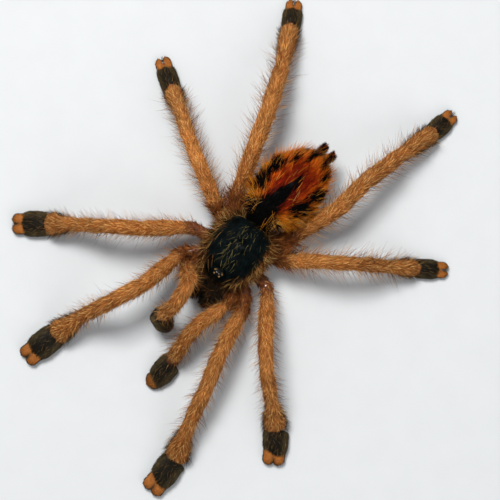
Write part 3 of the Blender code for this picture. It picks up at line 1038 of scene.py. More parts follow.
def place_group(tree, name, inputs, outputs, fill):
    """Places the group of this name. A new one gets its sockets and the outputs of fill."""
    group = bpy.data.node_groups.get(name)
    if group is None:
        group = bpy.data.node_groups.new(name, "ShaderNodeTree")
        for label, (kind, value) in inputs.items():
            socket = group.interface.new_socket(
                label, in_out="INPUT", socket_type=f"NodeSocket{kind}")
            socket.default_value = value
        for label, kind in outputs.items():
            group.interface.new_socket(label, in_out="OUTPUT", socket_type=f"NodeSocket{kind}")
        entry = group.nodes.new("NodeGroupInput")
        feed(group, group.nodes.new("NodeGroupOutput"), fill(group, entry.outputs))
    return put(tree, "Group", {}, node_tree=group)


def fur_grain(tree, fineness):
    """Short flat fur as fine streaks along the lie of the coat: a height and a shade."""

    def fill(group, given):
        lie = put(group, "VectorMath", {0: given["Lie"], 1: (1.0, 0.16, 1.0)},
                  operation="MULTIPLY")
        fine = put(group, "TexNoise", {"Vector": lie, "Scale": given["Fineness"], "Detail": 3.0})
        broad = put(group, "TexNoise", {"Vector": given["Lie"], "Scale": 1.3})
        shade = put(group, "Math", {0: fine, 1: 0.6, 2: broad}, operation="MULTIPLY_ADD")
        return {"Height": fine, "Shade": shade}

    inputs = {"Lie": ("Vector", (0, 0, 0)), "Fineness": ("Float", 9.0)}
    node = place_group(tree, "fur grain", inputs, {"Height": "Float", "Shade": "Float"}, fill)
    feed(tree, node, {"Lie": attribute(tree, "grain", "Vector"), "Fineness": fineness})
    return node.outputs


def strand_colour(tree, clumps):
    """A strand's own colour, varied in small clumps over the body."""

    def fill(group, given):
        noise = object_noise(group, Scale=given["Clumps"])
        tinted = scaled(group, given["Colour"], ranged(group, noise, 0.72, 1.28))
        return {"Colour": tinted, "Roughness": ranged(group, noise, 0.45, 0.65)}

    inputs = {"Colour": ("Color", (1, 1, 1, 1)), "Clumps": ("Float", 900.0)}
    outputs = {"Colour": "Color", "Roughness": "Float"}
    node = place_group(tree, "strand colour", inputs, outputs, fill)
    feed(tree, node, {"Colour": attribute(tree, "coat", "Color"), "Clumps": clumps})
    return node.outputs


def material(name, fill):
    """The material of this name. A new one gets the shader inputs that fill gives."""
    made = bpy.data.materials.get(name)
    if made is None:
        made = bpy.data.materials.new(name)
        made.use_nodes = True
        tree = made.node_tree
        feed(tree, tree.nodes["Principled BSDF"], fill(tree))
    return made


def coat_material(name, clumps, gloss):
    def fill(tree):
        strand = strand_colour(tree, clumps)
        return {"Base Color": strand["Colour"], "Roughness": strand["Roughness"],
                "Specular IOR Level": gloss}

    return material(name, fill)


def furred(tree, colour_scale, height, strength, distance):
    """The shader inputs of a surface that shows its marks through short flat fur."""
    tinted = scaled(tree, attribute(tree, "marks", "Color"), colour_scale)
    bump = put(tree, "Bump", {"Strength": strength, "Distance": distance, "Height": height})
    return {"Base Color": tinted, "Normal": bump, "Roughness": 0.6, "Specular IOR Level": 0.12}


def skin_material():
    def fill(tree):
        fur = fur_grain(tree, 8.0)
        tone = ranged(tree, fur["Shade"], 0.45, 1.5, **{"From Max": 1.6})
        polish = {"Coat Weight": attribute(tree, "bare", "Fac"), "Coat Roughness": 0.18}
        return {**furred(tree, tone, fur["Height"], 0.7, 0.00008), **polish}

    return material("skin", fill)


def plate_material():
    def fill(tree):
        fur = fur_grain(tree, 7.0)
        return furred(tree, fur["Shade"], fur["Height"], 0.6, 0.00006)

    return material("carapace plate", fill)


def horn_material(name, dark, light, roughness, glint=(1.0, 1.0, 1.0), varnish=0.6):
    """Polished horn or glass, finely mottled from dark to light."""

    def fill(tree):
        ramp = put(tree, "ValToRGB", {"Fac": object_noise(tree, Scale=1500.0)})
        for element, tone in zip(ramp.color_ramp.elements, (dark, light)):
            element.color = (*tone, 1)
        return {"Base Color": ramp, "Roughness": roughness, "Specular IOR Level": 0.8,
                "Specular Tint": (*glint, 1), "Coat Weight": varnish, "Coat Roughness": 0.08}

    return material(name, fill)


# ---- the hard pieces ----


def plate_relief(spots):
    """How far the plate is sunk: the pit behind its middle, the grooves that run out from it, and
    the two lines that set off the head."""
    v, across, back = spots.v, spots.cosine, spots.v - 0.64
    pit = 0.30 * np.exp(-((across / 0.16) ** 2) - (back / 0.03) ** 2)
    bearing, far = np.arctan2(across, back * 1.6), np.hypot(across, back * 1.6)
    rays = np.cos(bearing * 4) ** 8 * ease(far, 0.12, 0.3) * (1 - ease(far, 0.75, 1.0))
    beside_line = np.abs(across) - (0.22 + 0.9 * (0.60 - v))
    head_line = np.exp(-((beside_line / 0.07) ** 2)) * ease(0.62 - v, 0, 0.06)
    above = ease(spots.sine, 0.15, 0.5)
    return above * (pit + 0.04 * rays + 0.06 * head_line * ease(v, 0.18, 0.3))


def sink_into_plate(spots):
    spots.points = spots.points - spots.normals * column(plate_relief(spots))


def make_plate():
    """The back plate, closed underneath, with its pit and grooves."""
    form, rings, sides = plate_form(), 110, 120
    v, theta = flat_grid(np.linspace(0, 1, rings), ring_angles(sides))
    spots = Spots(form, np.clip(v, 0.004, 0.996), theta)
    spots.v, spots.points = v, form.at(v, theta)
    sink_into_plate(spots)
    plate = mesh_object("carapace_plate", spots.points, band_faces(rings, sides))
    grain = np.stack([theta * 3.0, v * form.length, np.zeros(len(v))], axis=1)
    mark(plate.data, plate_marks(spots) * 0.7, grain)
    finish_piece(plate, plate_material(), "carapace", "carapace")


def ball(centre, radii, rings=14, sides=20):
    """A ball as points and faces."""
    down, turn = flat_grid(np.linspace(0, math.pi, rings), ring_angles(sides))
    ways = [np.sin(down) * np.cos(turn), np.sin(down) * np.sin(turn), np.cos(down)]
    faces = [[a, d, c, b] for a, b, c, d in band_faces(rings, sides, capped=False)]
    return centre + np.stack(ways, axis=1) * radii, faces


# The left eyes on their mound: how far out, ahead and up from its middle, as shares of its half
# size, and how wide. The right eyes mirror them.
EYES = (
    ("front_middle", 0.28, 0.20, 0.90, 0.28),
    ("front_side", 0.56, 0.72, 0.46, 0.26),
    ("rear_side", 0.84, -0.08, 0.46, 0.22),
    ("rear_middle", 0.60, -0.36, 0.66, 0.16),
)
MOUND_SCALE, MOUND_DROP = 0.86, 0.18  # how the dressed mound is smaller and lower than its solid


def make_eyes():
    """The low mound with its eyes: the front middle pair is dark, and the others are pearly."""
    low, high = in_millimetres(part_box("eye_mound"))
    middle, half = (low + high) / 2, (high - low) / 2
    middle[2] -= MOUND_DROP
    points, faces = ball(middle, half * MOUND_SCALE)
    mound = mesh_object("eye_mound_skin", points, faces)
    mark(mound.data, all_of(palette().soot, len(points)), points)
    finish_piece(mound, plate_material(), "eye", "eye_mound")
    dark = horn_material("dark eye", (0.004, 0.003, 0.003), (0.020, 0.012, 0.008), 0.04)
    pearl = horn_material("pearly eye", (0.012, 0.008, 0.003), (0.20, 0.12, 0.035), 0.14,
                          glint=(1.0, 0.66, 0.28), varnish=0.0)
    for name, out, ahead, up, width in EYES:
        for way, side in zip((1, -1), SIDES):
            spot = middle + half * (way * out, -ahead, up) * MOUND_SCALE
            eye = mesh_object(f"eye_{name}_{side}", *ball(spot, 0.5 * width))
            finish_piece(eye, dark if name == "front_middle" else pearl, "eye")


def horn(line, radii, sides=14):
    """A curved, tapering horn along a line of points."""
    line, points = np.array(line), []
    for spot, way, radius in zip(line, unit(np.gradient(line, axis=0)), radii):
        side = unit(np.cross(way, (0.3, 0.1, 1.0)))
        up = np.cross(side, way)
        for angle in ring_angles(sides):
            points.append(spot + (side * math.cos(angle) + up * math.sin(angle)) * radius)
    return np.array(points), band_faces(len(line), sides)


def make_fangs():
    """The two curved fangs, folded back under the jaws."""
    polished = horn_material("fang horn", (0.012, 0.004, 0.003), (0.06, 0.016, 0.008), 0.12)
    parts = np.linspace(0, 1, 16)
    for side in SIDES:
        root, tip = ends_of(f"fang_{side}", BACK)
        low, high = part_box(f"fang_{side}")
        line = root + (tip - root) * column(parts) - UP * column(0.28 * np.sin(math.pi * parts))
        line[0] = line[0] + UP * 0.25
        radii = (high.z - low.z) / MM * 0.42 * (1 - parts) ** 0.7 + 0.02
        fang = mesh_object(f"fang_horn_{side}", *horn(line, radii))
        finish_piece(fang, polished, "fang", f"fang_{side}")


def make_claws():
    """A pair of small dark claws in the notch between each foot's toe pads."""
    dark = horn_material("claw horn", (0.010, 0.006, 0.004), (0.035, 0.018, 0.010), 0.25)
    parts = np.linspace(0, 1, 8)
    reach, rise = column(1.05 * parts), column(0.26 - 0.4 * parts * parts)
    claws = []
    for limb in LIMBS:
        along = foot_line(limb)[1]
        side, up = axes(along)
        root = np.mean([pad.centres[pad.count // 2] for pad in toe_forms(limb)], axis=0)
        for way in (1, -1):
            line = root + side * way * 0.07 + along * reach + up * rise
            claws.append(horn(line, 0.075 * (1 - parts) ** 0.7 + 0.008, sides=8))
    points, faces = one_mesh(claws)
    points[:, 2] = np.maximum(points[:, 2], FLOOR_GAP)
    finish_piece(mesh_object("claws", points, faces), dark, "fang")


# ---- the coats ----


def coat_limb(limb, seed):
    """A limb's fur: short dark hair, golden hair over it, and thin long hairs that stand out."""
    form, tones = limb_flesh(limb), palette()
    coat = Coat(f"coat_{limb}", seed)
    rng, short, width = coat.rng, coat_size("leg_hair"), coat_size("hair_width")
    rear = limb.startswith(("leg3", "leg4"))
    hip = 1.1 if rear else 0.6
    amount, ending = (1.0, 1.0) if limb in LEGS else (0.62, 0.38)

    def well_covered(spots):
        below = ease(-spots.facing_up, 0.2, 0.8)
        return (0.3 + 0.7 * ease(spots.v, 0.05, 0.11)) * (1 - 0.4 * below)

    def brush(spots):
        late, below = ease(spots.v, 0.76, 0.88), ease(-spots.sine, -0.4, 0.0)
        return late * below * ease(spots.beside, 0.2, 0.6)

    def spread_out(spots):
        below = 0.5 + 0.5 * ease(-spots.facing_up, -0.8, -0.2)
        return ease(spots.v, 0.02, 0.08) * below * (1 - 0.5 * ease(spots.v, 0.85, 1))

    for layer, portion in enumerate((0.87, 0.13)):
        number = int(amount * portion * coat_count("leg_count"))
        spots = scatter(form, number, seed + layer, well_covered)
        v, points = spots.v, spots.points
        shades = jitter(rng, leg_marks(limb, spots), 0.35)
        turned = np.cross(spots.normals, spots.along) * column(0.2 * ripple(points, 2.2, seed))
        flows = unit(spots.along + turned)
        lift = 0.38 + 0.08 * ripple(points, 1.3, seed + 1) + 0.2 * ease(v, 0.76, 0.92)
        lengths = short * (1 - (1 - ending) * ease(v, 0.78, 0.94))
        lengths = lengths * (hip + (1 - hip) * ease(v, 0.06, 0.15))
        lengths = lengths * (1 - 0.4 * ease(v, 0.90, 0.98))
        if layer:
            gold = blend_of(rng, spots, tones.amber, tones.straw * 1.15, tones.straw * 1.3)
            brushed = ease(v, 0.8, 0.95) * ease(-spots.sine, -0.3, 0.2)
            shades = mix(shades, gold, 0.95 * (1 - brushed))
            coat.grow(spots, shades, lengths * 1.2, width, lift + 0.16, 0.5, flows, wander=0.38)
        else:
            coat.grow(spots, shades, lengths, width, lift, 0.2, flows, dark=0.30, light=0.92,
                      wander=0.22)

    spots = scatter(form, int(amount * 480), seed + 30, brush)
    shades = blend_of(rng, spots, tones.soot, tones.olive, tones.olive * 2)
    coat.grow(spots, shades, 1.25 * ending, 0.06, 0.7, 0.3, light=1.2, wander=0.25)

    spots = scatter(form, int(amount * coat_count("long_count")), seed + 50, spread_out)
    shades = blend_of(rng, spots, tones.russet * 0.12, tones.russet * 0.4, tones.amber * 0.6,
                      tones.straw)
    long = coat_size("long_hair") * (1.35 if rear else 1.1)
    long = long * rng.uniform(0.4, 1.0, spots.number()) * (1 - 0.4 * ease(spots.v, 0.8, 0.95))
    long = long * (1 - 0.5 * ease(spots.facing_up, 0.4, 0.9))
    long = long * (1 - 0.6 * ease(spots.points[:, 2], 6.0, 7.6))
    coat.grow(spots, shades, long, 0.044, 1.0, 0.35, wander=0.3)
    coat.build(coat_material("leg coat", 700.0, 0.12), "leg")


def coat_foot(coat, limb, seed, left):
    """The velvet of one foot and its toe pads, with a few thin hairs along the top. Their places
    on the map start at the given left edge."""
    rng, velvet, number = coat.rng, coat_size("velvet"), coat_count("foot_count")
    form, width = foot_flesh(limb), 0.18
    cell = (left, left + width, 0.02, 0.5)
    spots = scatter(form, int(number * 0.62), seed)
    shades = jitter(rng, foot_marks(spots), 0.3)
    lift = 0.28 + 0.12 * ease(spots.beside, 0.4, 0.9)
    coat.grow(spots, shades, velvet * (1 - 0.5 * ease(spots.v, 0.75, 1.0)), 0.055, lift, 0.1,
              sink=0.03, light=1.3, wander=0.16, cell=cell)

    pads = toe_forms(limb)
    for place, pad in enumerate(pads):
        pad = pad.inset(coat_size("foot_depth"))
        spots = scatter(pad, int(number * 0.38 / len(pads)), seed + 7 + place,
                        lambda spots: ease(spots.v, 0.0, 0.12) * (toe_ways(spots)[0] < 0.62))
        shades = jitter(rng, toe_marks(limb, spots), 0.2)
        start = left + place * width / 2
        coat.grow(spots, shades, velvet * 0.6, 0.06, 0.5, 0.1, sink=0.03, dark=0.7, light=1.15,
                  cell=(start, start + width / 2, 0.55, 0.98))

    spots = scatter(form, 45, seed + 20, lambda spots: ease(spots.facing_up, 0.2, 0.7))
    brown = jitter(rng, all_of(palette().straw * 0.22, spots.number()), 0.4)
    coat.grow(spots, brown, 0.8, 0.035, 0.5, 0.2, sink=0.03, wander=0.4, cell=cell)


def coat_feet(side, seed):
    coat = Coat(f"coat_feet_{side}", seed)
    for place, limb in enumerate(limb for limb in LIMBS if limb.endswith(side)):
        coat_foot(coat, limb, seed + 100 * place, 0.02 + 0.19 * place)
    coat.build(coat_material("foot velvet", 900.0, 0.1), "foot")


def coat_plate():
    """Short dark hair on the back plate, a gold fringe at its rim and a few long gold hairs."""
    form, tones, middle = plate_form(), palette(), body_middle()
    coat = Coat("coat_carapace", 71)
    rng = coat.rng

    def outward(spots):
        return unit((spots.points - middle) * LEVEL)

    def at_rim(spots):
        v, out, edge = spots.v, spots.off(middle[0]), rim_closeness(spots)
        bare = np.maximum(0.95 * (v > 0.88) * (out < 1.8), 0.9 * (v < 0.16) * (out < 1.9))
        rim = 0.08 * ease(edge, 0.70, 0.86) + 0.92 * (edge > 0.93)
        return rim * (spots.sine > -0.2) * (1 - bare) * (0.4 + 0.6 * ease(v, 0.18, 0.42))

    def at_brow(spots):
        outer = (spots.off(middle[0]) > 1.75) * (spots.beside > 0.5)
        return (spots.v < 0.30) * outer * (spots.sine > -0.1)

    def midline(spots):
        near = 0.15 + 0.85 * (spots.off(middle[0]) < 1.2)
        return ease(spots.facing_up, 0.3, 0.7) * near * ease(spots.v, 0.24, 0.32)

    spots = scatter(form, coat_count("plate_count"), 71,
                    lambda spots: ease(spots.facing_up, -0.25, 0.1))
    sink_into_plate(spots)
    rim = ease(np.linalg.norm((spots.points - middle)[:, :2], axis=1), 2.0, 4.0)
    flows = unit(AHEAD + outward(spots) * column(0.15 + 0.75 * rim))
    shades = jitter(rng, plate_marks(spots), 0.6)
    coat.grow(spots, shades, coat_size("plate_hair"), 0.065, 0.34, 0.2,
              along_surface(flows, spots.normals), sink=0.04, light=1.6, wander=0.22)

    spots = scatter(form, 1800, 72, at_rim)
    fringe = blend_of(rng, spots, tones.soot, tones.soot, tones.olive, tones.russet * 0.3,
                      tones.russet * 0.6, tones.straw * 0.42)
    fringe = mix(tones.soot * 1.5, fringe, 0.25 + 0.75 * ease(spots.v, 0.14, 0.36))
    coat.grow(spots, fringe, 1.4, 0.052, 0.3, 0.6, unit(outward(spots) + AHEAD * 0.7),
              upright=True, dark=0.5, wander=0.5)

    spots = scatter(form, 190, 75, at_rim)
    bright = blend_of(rng, spots, tones.amber * 0.7, tones.straw * 0.8, tones.straw)
    coat.grow(spots, bright, 1.8, 0.042, 0.5, 0.9, unit(outward(spots) + AHEAD),
              upright=True, segments=3, wander=0.7)

    spots = scatter(form, 70, 76, at_brow)
    inward = np.sign(middle[0] - spots.points[:, :1]) * (0.35, 0.0, 0.0)
    bright = blend_of(rng, spots, tones.soot, tones.soot, tones.russet * 0.35, tones.straw * 0.45)
    coat.grow(spots, bright, 2.1, 0.045, 0.4, 0.9, unit(inward + AHEAD), upright=True, dark=0.5,
              segments=3, wander=0.3)

    spots = scatter(form, 600, 74,
                    lambda spots: ease(spots.v, 0.90, 0.97) * (spots.facing_up > -0.2))
    rear = blend_of(rng, spots, tones.soot, tones.soot * 2, tones.russet * 0.3, tones.straw * 0.5)
    rear = mix(tones.soot * 1.5, rear, ease(spots.off(middle[0]), 1.4, 2.0))
    flows = unit((spots.points - middle) * (1.4, 1, 0))
    coat.grow(spots, rear, 1.2, 0.07, 0.7, 0.5, flows, upright=True, dark=0.5, wander=0.4)

    spots = scatter(form, 85, 73, midline)
    gold = blend_of(rng, spots, tones.olive * 4, (0.16, 0.13, 0.04), (0.42, 0.34, 0.12))
    coat.grow(spots, gold, 1.05, 0.036, 0.6, 0.4, along_surface(AHEAD, spots.normals),
              sink=0.04, dark=0.7, segments=3, wander=0.4)
    coat.build(coat_material("carapace hair", 500.0, 0.03), "carapace")


def coat_abdomen():
    """The abdomen's hair, which flows back and out, with long gold hairs over it."""
    form, tones, hair = abdomen_form(), palette(), coat_size("abdomen_hair")
    side = form.middle_side()
    coat = Coat("coat_abdomen", 81)
    rng = coat.rng

    def spread_out(spots):
        outer = 0.10 + 0.90 * ease(spots.beside, 0.4, 0.75)
        return outer * (spots.facing_up > -0.4) * (1 - 0.8 * abdomen_darkness(spots))

    spots = scatter(form, coat_count("abdomen_count"), 81,
                    lambda spots: 1 - 0.35 * ease(-spots.facing_up, 0.2, 0.7))
    shades = jitter(rng, abdomen_marks(spots), 0.4)
    black = rng.random(spots.number()) < abdomen_darkness(spots)
    shades[black] = jitter(rng, all_of(tones.soot, black.sum()), 0.3)
    stripe = black & (spots.beside < 0.45)
    lengths = np.where(black, hair * (1.1 + 0.3 * (spots.v > 0.85)), hair)
    lengths = np.where(stripe, hair * 0.6, lengths)
    lift = np.where(stripe, 0.35, 0.58 - 0.2 * ease(spots.facing_up, 0.75, 0.98))
    lift = lift + 0.12 * ripple(spots.points, 1.4, 82)
    flows = along_surface(spots.along + column(spots.cosine) * side * 0.35, spots.normals)
    coat.grow(spots, shades, lengths, 0.075, lift, 0.35, flows, sink=0.06, dark=0.3, light=1.15,
              wander=0.2, cell=ABDOMEN_MAP)

    spots = scatter(form, 680, 83, spread_out)
    gold = blend_of(rng, spots, tones.flame, tones.gold, tones.gold, tones.straw * 0.9)
    lift = 0.85 - 0.45 * ease(spots.facing_up, 0.6, 0.95)
    flows = unit(spots.along + column(spots.cosine) * side * 0.3)
    coat.grow(spots, gold, 1.9, 0.048, lift, 0.45, flows, sink=0.06, segments=3, wander=0.4,
              cell=ABDOMEN_MAP)

    coat_abdomen_front(coat, form)
    for word, left in zip(SIDES, (0.02, 0.5)):
        spots = scatter(spinneret_form(word), 500, 85)
        flecks = rng.random(spots.number()) < 0.15
        sooty = jitter(rng, mix(tones.soot, tones.flame * 0.5, flecks), 0.3)
        coat.grow(spots, sooty, 0.6, 0.06, 0.6, 0.2, sink=0.03, dark=0.7, light=1.3, wander=0.3,
                  cell=(left, left + 0.46, 0.955, 0.99))
    coat.build(coat_material("abdomen coat", 600.0, 0.04), "abdomen")


def coat_abdomen_front(coat, form):
    """Gold hair that stands out at the abdomen's front corners, a loose mane that reaches ahead,
    and the black hair of the waist and over it."""
    rng, tones, side, middle = coat.rng, palette(), form.middle_side(), form.centres[0][0]

    def corners(spots):
        early = 1 - ease(spots.v, 0.16, 0.26)
        return (spots.off(middle) > 2.0) * early * (spots.facing_up > -0.3)

    def brow(spots):
        early, above = 1 - ease(spots.v, 0.12, 0.2), ease(spots.facing_up, 0.2, 0.5)
        return early * above * ease(spots.off(middle), 0.5, 1.0) * (spots.off(middle) < 3.0)

    def nape(spots):
        return (spots.v < 0.09) * (spots.off(middle) < 2.3) * (spots.sine > -0.3)

    spots = scatter(form, 240, 87, corners)
    gold = blend_of(rng, spots, tones.soot, tones.soot, tones.flame * 0.7, tones.gold, tones.gold)
    flows = unit(column(np.sign(spots.cosine)) * side + spots.along * 0.35)
    coat.grow(spots, gold, 1.7, 0.055, 0.4, 0.4, flows, sink=0.06, dark=0.4, wander=0.3,
              cell=ABDOMEN_MAP)

    spots = scatter(form, 34, 88, brow)
    gold = blend_of(rng, spots, tones.gold * 0.5, tones.gold, tones.straw * 0.7)
    reach = column(np.sign(spots.cosine) * (0.35 + 0.5 * spots.beside))
    coat.grow(spots, gold, 2.6, 0.036, 0.45, 0.6, unit(AHEAD + side * reach), upright=True,
              sink=0.06, segments=3, wander=0.75, cell=ABDOMEN_MAP)

    waist = trunk_form("pedicel")
    spots = scatter(waist, 1500, 89)
    back = spots.along * rng.uniform(-0.6, 1.0, (spots.number(), 1))
    flows = unit(back + column(spots.cosine) * waist.sides[0] * 1.3)
    sooty = jitter(rng, all_of(tones.soot * 1.3, spots.number()), 0.4)
    coat.grow(spots, sooty, 2.0, 0.085, 1.0, 0.4, flows, sink=0.04, dark=0.7, light=1.4,
              wander=0.5, cell=(0.02, 0.98, 0.90, 0.94))

    spots = scatter(form, 620, 90, nape)
    sooty = jitter(rng, all_of(tones.soot, spots.number()), 0.4)
    flows = unit(AHEAD + column(spots.cosine) * side * 0.7)
    coat.grow(spots, sooty, 1.6, 0.08, 0.5, 0.6, flows, upright=True, sink=0.06, dark=0.7,
              light=1.4, wander=0.5, cell=ABDOMEN_MAP)


def coat_jaws():
    """The jaws' dark hair, with long gold hairs that reach ahead."""
    coat, tones = Coat("coat_jaws", 91), palette()
    rng = coat.rng
    for side, left in zip(SIDES, (0.02, 0.52)):
        form, cell = jaw_form(side), (left, left + 0.46, 0.02, 0.98)
        spots = scatter(form, 1700, 91)
        shades = blend_of(rng, spots, tones.soot, tones.soot * 2, tones.olive * 1.2)
        coat.grow(spots, shades, 1.1, 0.065, 0.75, 0.3, sink=0.04, light=1.2, wander=0.35,
                  cell=cell)
        spots = scatter(form, 95, 93, lambda spots: ease(spots.facing_up, -0.6, 0.0))
        gold = blend_of(rng, spots, tones.soot, tones.olive, tones.russet * 0.5, tones.amber * 0.8)
        coat.grow(spots, gold, 1.5, 0.042, 0.6, 0.5, sink=0.04, segments=3, wander=0.5, cell=cell)
    coat.build(coat_material("jaw hair", 600.0, 0.08), "jaw")


def coat_underside():
    """Short brown hair on the coxae and the breast plate, lying outwards from the middle."""
    faces = bpy.data.objects["skin"].data.polygons
    centres, ways = read_rows(faces, "center", 3) / MM, read_rows(faces, "normal", 3)
    areas = read_rows(faces, "area", 1)[:, 0]
    low, high = in_millimetres(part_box("sternum_and_coxae"))
    middle = (low + high) / 2
    coat, tones = Coat("coat_underside", 95), palette()
    rng = coat.rng
    near = np.all((centres > low - 0.1) & (centres < high + 0.1), axis=1)
    chosen = np.flatnonzero(near)
    ends = 3 * ease(-centres[chosen, 1], 2.8, 4.0) + 1.2 * ease(centres[chosen, 1], 1.0, 2.4)
    weights = areas[chosen] * (1 + ends * (ways[chosen, 2] > -0.3))
    chosen = rng.choice(chosen, 11200, p=weights / weights.sum())
    spots = SimpleNamespace(normals=ways[chosen], number=lambda: len(chosen))
    spots.points = points = centres[chosen] + rng.normal(0, 0.05, (len(chosen), 3))
    outward = unit((points - middle) * LEVEL)
    flows = outward - spots.normals * column(dot(outward, spots.normals))
    flows = unit(flows + rng.normal(0, 0.1, points.shape))
    upper = spots.normals[:, 2] > 0
    brown = blend_of(rng, spots, tones.soot, tones.russet * 0.25, tones.russet * 0.5, tones.russet)
    beside = np.abs(points[:, 0] - middle[0])
    ahead = ease(-points[:, 1], 2.6, 4.2) * (1 - ease(beside, 1.9, 2.6))
    behind = ease(points[:, 1], 0.5, 2.5)
    black = blend_of(rng, spots, tones.soot, tones.soot, tones.olive)
    brown = mix(brown, black, 0.95 * ahead)
    shades = jitter(rng, np.where(column(upper), brown, tones.russet * 0.38), 0.3)
    place = (points[:, :2] - low[:2]) / (high - low)[:2]
    maps = [0.02 + 0.46 * place[:, 0] + 0.5 * upper, 0.02 + 0.96 * place[:, 1]]
    lengths = np.where(upper, 0.75 + 0.7 * ahead + 1.1 * behind, 0.5)
    lift = np.where(upper, 0.6 + 0.2 * (ahead + behind), 0.3)
    coat.grow(spots, shades, lengths, 0.065, lift, 0.3, flows, dark=0.55, light=1.15, wander=0.3,
              maps=np.stack(maps, axis=1))
    coat.build(coat_material("underside hair", 600.0, 0.12), "underside")


# ---- the stage ----


FLOOR_HALF = 800.0  # from the floor's middle to its edge
CAMERA_OFFSET = (1.23, 1.15)  # from the plate's middle

# Each light: its way towards the top of the view and to its right, its height and its size, all in
# metres, and its power as a share of the key light's.
LIGHTS = (
    ("key light", 0.19, -0.08, 0.38, 0.14, 1.0),
    ("fill light", -0.34, 0.22, 0.30, 0.35, 0.30),
)


def make_floor(tone):
    corners = [(x * FLOOR_HALF, y * FLOOR_HALF, 0) for x, y in ((-1, -1), (1, -1), (1, 1), (-1, 1))]
    floor = mesh_object("floor", corners, [[0, 1, 2, 3]], smooth=False)

    def fill(tree):
        shade = ranged(tree, object_noise(tree, Scale=300.0, Detail=4.0), 0.97, 1.03)
        return {"Base Color": scaled(tree, tone, shade), "Roughness": 0.8}

    floor.data.materials.append(material("pale floor", fill))


def make_stage():
    """The floor, the lights and the camera, which looks straight down, turned with the animal."""
    scene = bpy.context.scene
    stage = scene.tarantula_stage
    make_floor(tuple(stage.floor))
    low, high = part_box("carapace")
    target = (low + high) / 2
    sine, cosine = math.sin(stage.turn), math.cos(stage.turn)
    for name, upward, sideways, height, size, power in LIGHTS:
        data = bpy.data.lights.new(name, "AREA")
        data.size, data.energy = size, stage.key_power * power
        lamp = add_object(name, data)
        lamp.location = (target.x - sine * upward + cosine * sideways,
                         target.y + cosine * upward + sine * sideways, height)
        lamp.rotation_euler = (lamp.location - target).to_track_quat("Z", "Y").to_euler()
    world = bpy.data.worlds.new("studio")
    world.use_nodes = True
    background = world.node_tree.nodes["Background"]
    feed(world.node_tree, background, {"Color": (0.93, 0.95, 1.0, 1), "Strength": 0.42})
    scene.world = world
    scene.view_settings.view_transform = "Standard"
    data = bpy.data.cameras.new("camera")
    data.sensor_width = 36.0
    data.lens = data.sensor_width * stage.camera_height / stage.frame_width
    data.clip_start = 0.01
    camera = add_object("camera", data)
    right, ahead = (offset * MM for offset in CAMERA_OFFSET)
    camera.location = (target.x + right, target.y + ahead, stage.camera_height)
    camera.rotation_euler = (0.0, 0.0, stage.turn)
    scene.camera = camera


# ---- operators and panel ----


class TARANTULA_OT_skin(bpy.types.Operator):
    """Make the one skin over trunk, limbs and feet"""

    bl_idname = "tarantula.skin"
    bl_label = "Skin"

    def execute(self, context):
        make_skin()
        return {"FINISHED"}


class TARANTULA_OT_plate(bpy.types.Operator):
    """Make the back plate"""

    bl_idname = "tarantula.plate"
    bl_label = "Back Plate"

    def execute(self, context):
        make_plate()
        return {"FINISHED"}


class TARANTULA_OT_eyes(bpy.types.Operator):
    """Make the eye mound and the eight eyes"""

    bl_idname = "tarantula.eyes"
    bl_label = "Eyes"

    def execute(self, context):
        make_eyes()
        return {"FINISHED"}


class TARANTULA_OT_fangs(bpy.types.Operator):
    """Make the two fangs"""

    bl_idname = "tarantula.fangs"
    bl_label = "Fangs"

    def execute(self, context):
        make_fangs()
        return {"FINISHED"}


class TARANTULA_OT_claws(bpy.types.Operator):
    """Make the claws between the toe pads"""

    bl_idname = "tarantula.claws"
    bl_label = "Claws"

    def execute(self, context):
        make_claws()
        return {"FINISHED"}


class TARANTULA_OT_limb_coats(bpy.types.Operator):
    """Grow the hair of the eight legs and the two palps"""

    bl_idname = "tarantula.limb_coats"
    bl_label = "Limb Coats"

    def execute(self, context):
        for number, limb in enumerate(LIMBS):
            coat_limb(limb, 1000 + 17 * number)
        return {"FINISHED"}


class TARANTULA_OT_foot_coats(bpy.types.Operator):
    """Grow the velvet of the feet"""

    bl_idname = "tarantula.foot_coats"
    bl_label = "Foot Coats"

    def execute(self, context):
        coat_feet("left", 3000)
        coat_feet("right", 4000)
        return {"FINISHED"}


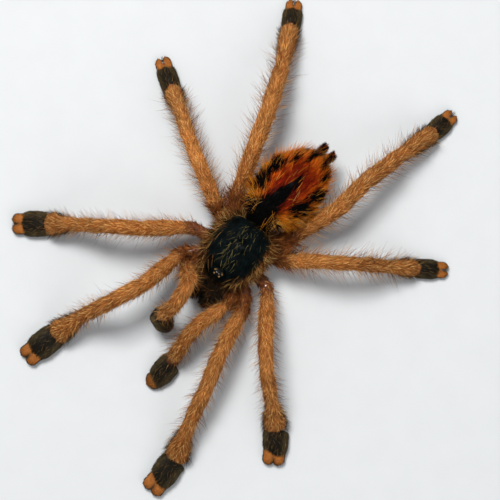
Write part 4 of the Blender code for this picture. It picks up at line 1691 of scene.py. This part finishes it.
class TARANTULA_OT_trunk_coats(bpy.types.Operator):
    """Grow the hair of the plate, abdomen, jaws and underside"""

    bl_idname = "tarantula.trunk_coats"
    bl_label = "Trunk Coats"

    def execute(self, context):
        coat_plate()
        coat_abdomen()
        coat_jaws()
        coat_underside()
        return {"FINISHED"}


class TARANTULA_OT_stage(bpy.types.Operator):
    """Make the floor, the lights and the camera"""

    bl_idname = "tarantula.stage"
    bl_label = "Stage"

    def execute(self, context):
        make_stage()
        return {"FINISHED"}


OPERATORS = (
    TARANTULA_OT_skin,
    TARANTULA_OT_plate,
    TARANTULA_OT_eyes,
    TARANTULA_OT_fangs,
    TARANTULA_OT_claws,
    TARANTULA_OT_limb_coats,
    TARANTULA_OT_foot_coats,
    TARANTULA_OT_trunk_coats,
    TARANTULA_OT_stage,
)


class TARANTULA_PT_panel(bpy.types.Panel):
    """Lists the steps that dress the tarantula, with its sizes and colours"""

    bl_idname = "TARANTULA_PT_panel"
    bl_label = "Tarantula"
    bl_space_type = "VIEW_3D"
    bl_region_type = "UI"
    bl_category = "Tarantula"

    def draw(self, context):
        layout = self.layout
        for operator in OPERATORS:
            layout.operator(operator.bl_idname)
        for name, kind in GROUPS.items():
            box = layout.box()
            for size in kind.__annotations__:
                box.prop(getattr(context.scene, name), size)


GROUPS = {
    "tarantula_coat": CoatSizes,
    "tarantula_colours": CoatColours,
    "tarantula_stage": StageSizes,
}


def register():
    for group in GROUPS.values():
        bpy.utils.register_class(group)
    for name, group in GROUPS.items():
        setattr(bpy.types.Scene, name, bpy.props.PointerProperty(type=group))
    for made in OPERATORS + (TARANTULA_PT_panel,):
        bpy.utils.register_class(made)


def unregister():
    for made in reversed(OPERATORS + (TARANTULA_PT_panel,)):
        bpy.utils.unregister_class(made)
    for name in GROUPS:
        delattr(bpy.types.Scene, name)
    for group in reversed(list(GROUPS.values())):
        bpy.utils.unregister_class(group)


def main():
    register()
    bpy.ops.tarantula.stage()
    bpy.ops.tarantula.skin()
    bpy.ops.tarantula.plate()
    bpy.ops.tarantula.eyes()
    bpy.ops.tarantula.fangs()
    bpy.ops.tarantula.claws()
    bpy.ops.tarantula.limb_coats()
    bpy.ops.tarantula.foot_coats()
    bpy.ops.tarantula.trunk_coats()


if __name__ == "__main__":
    main()
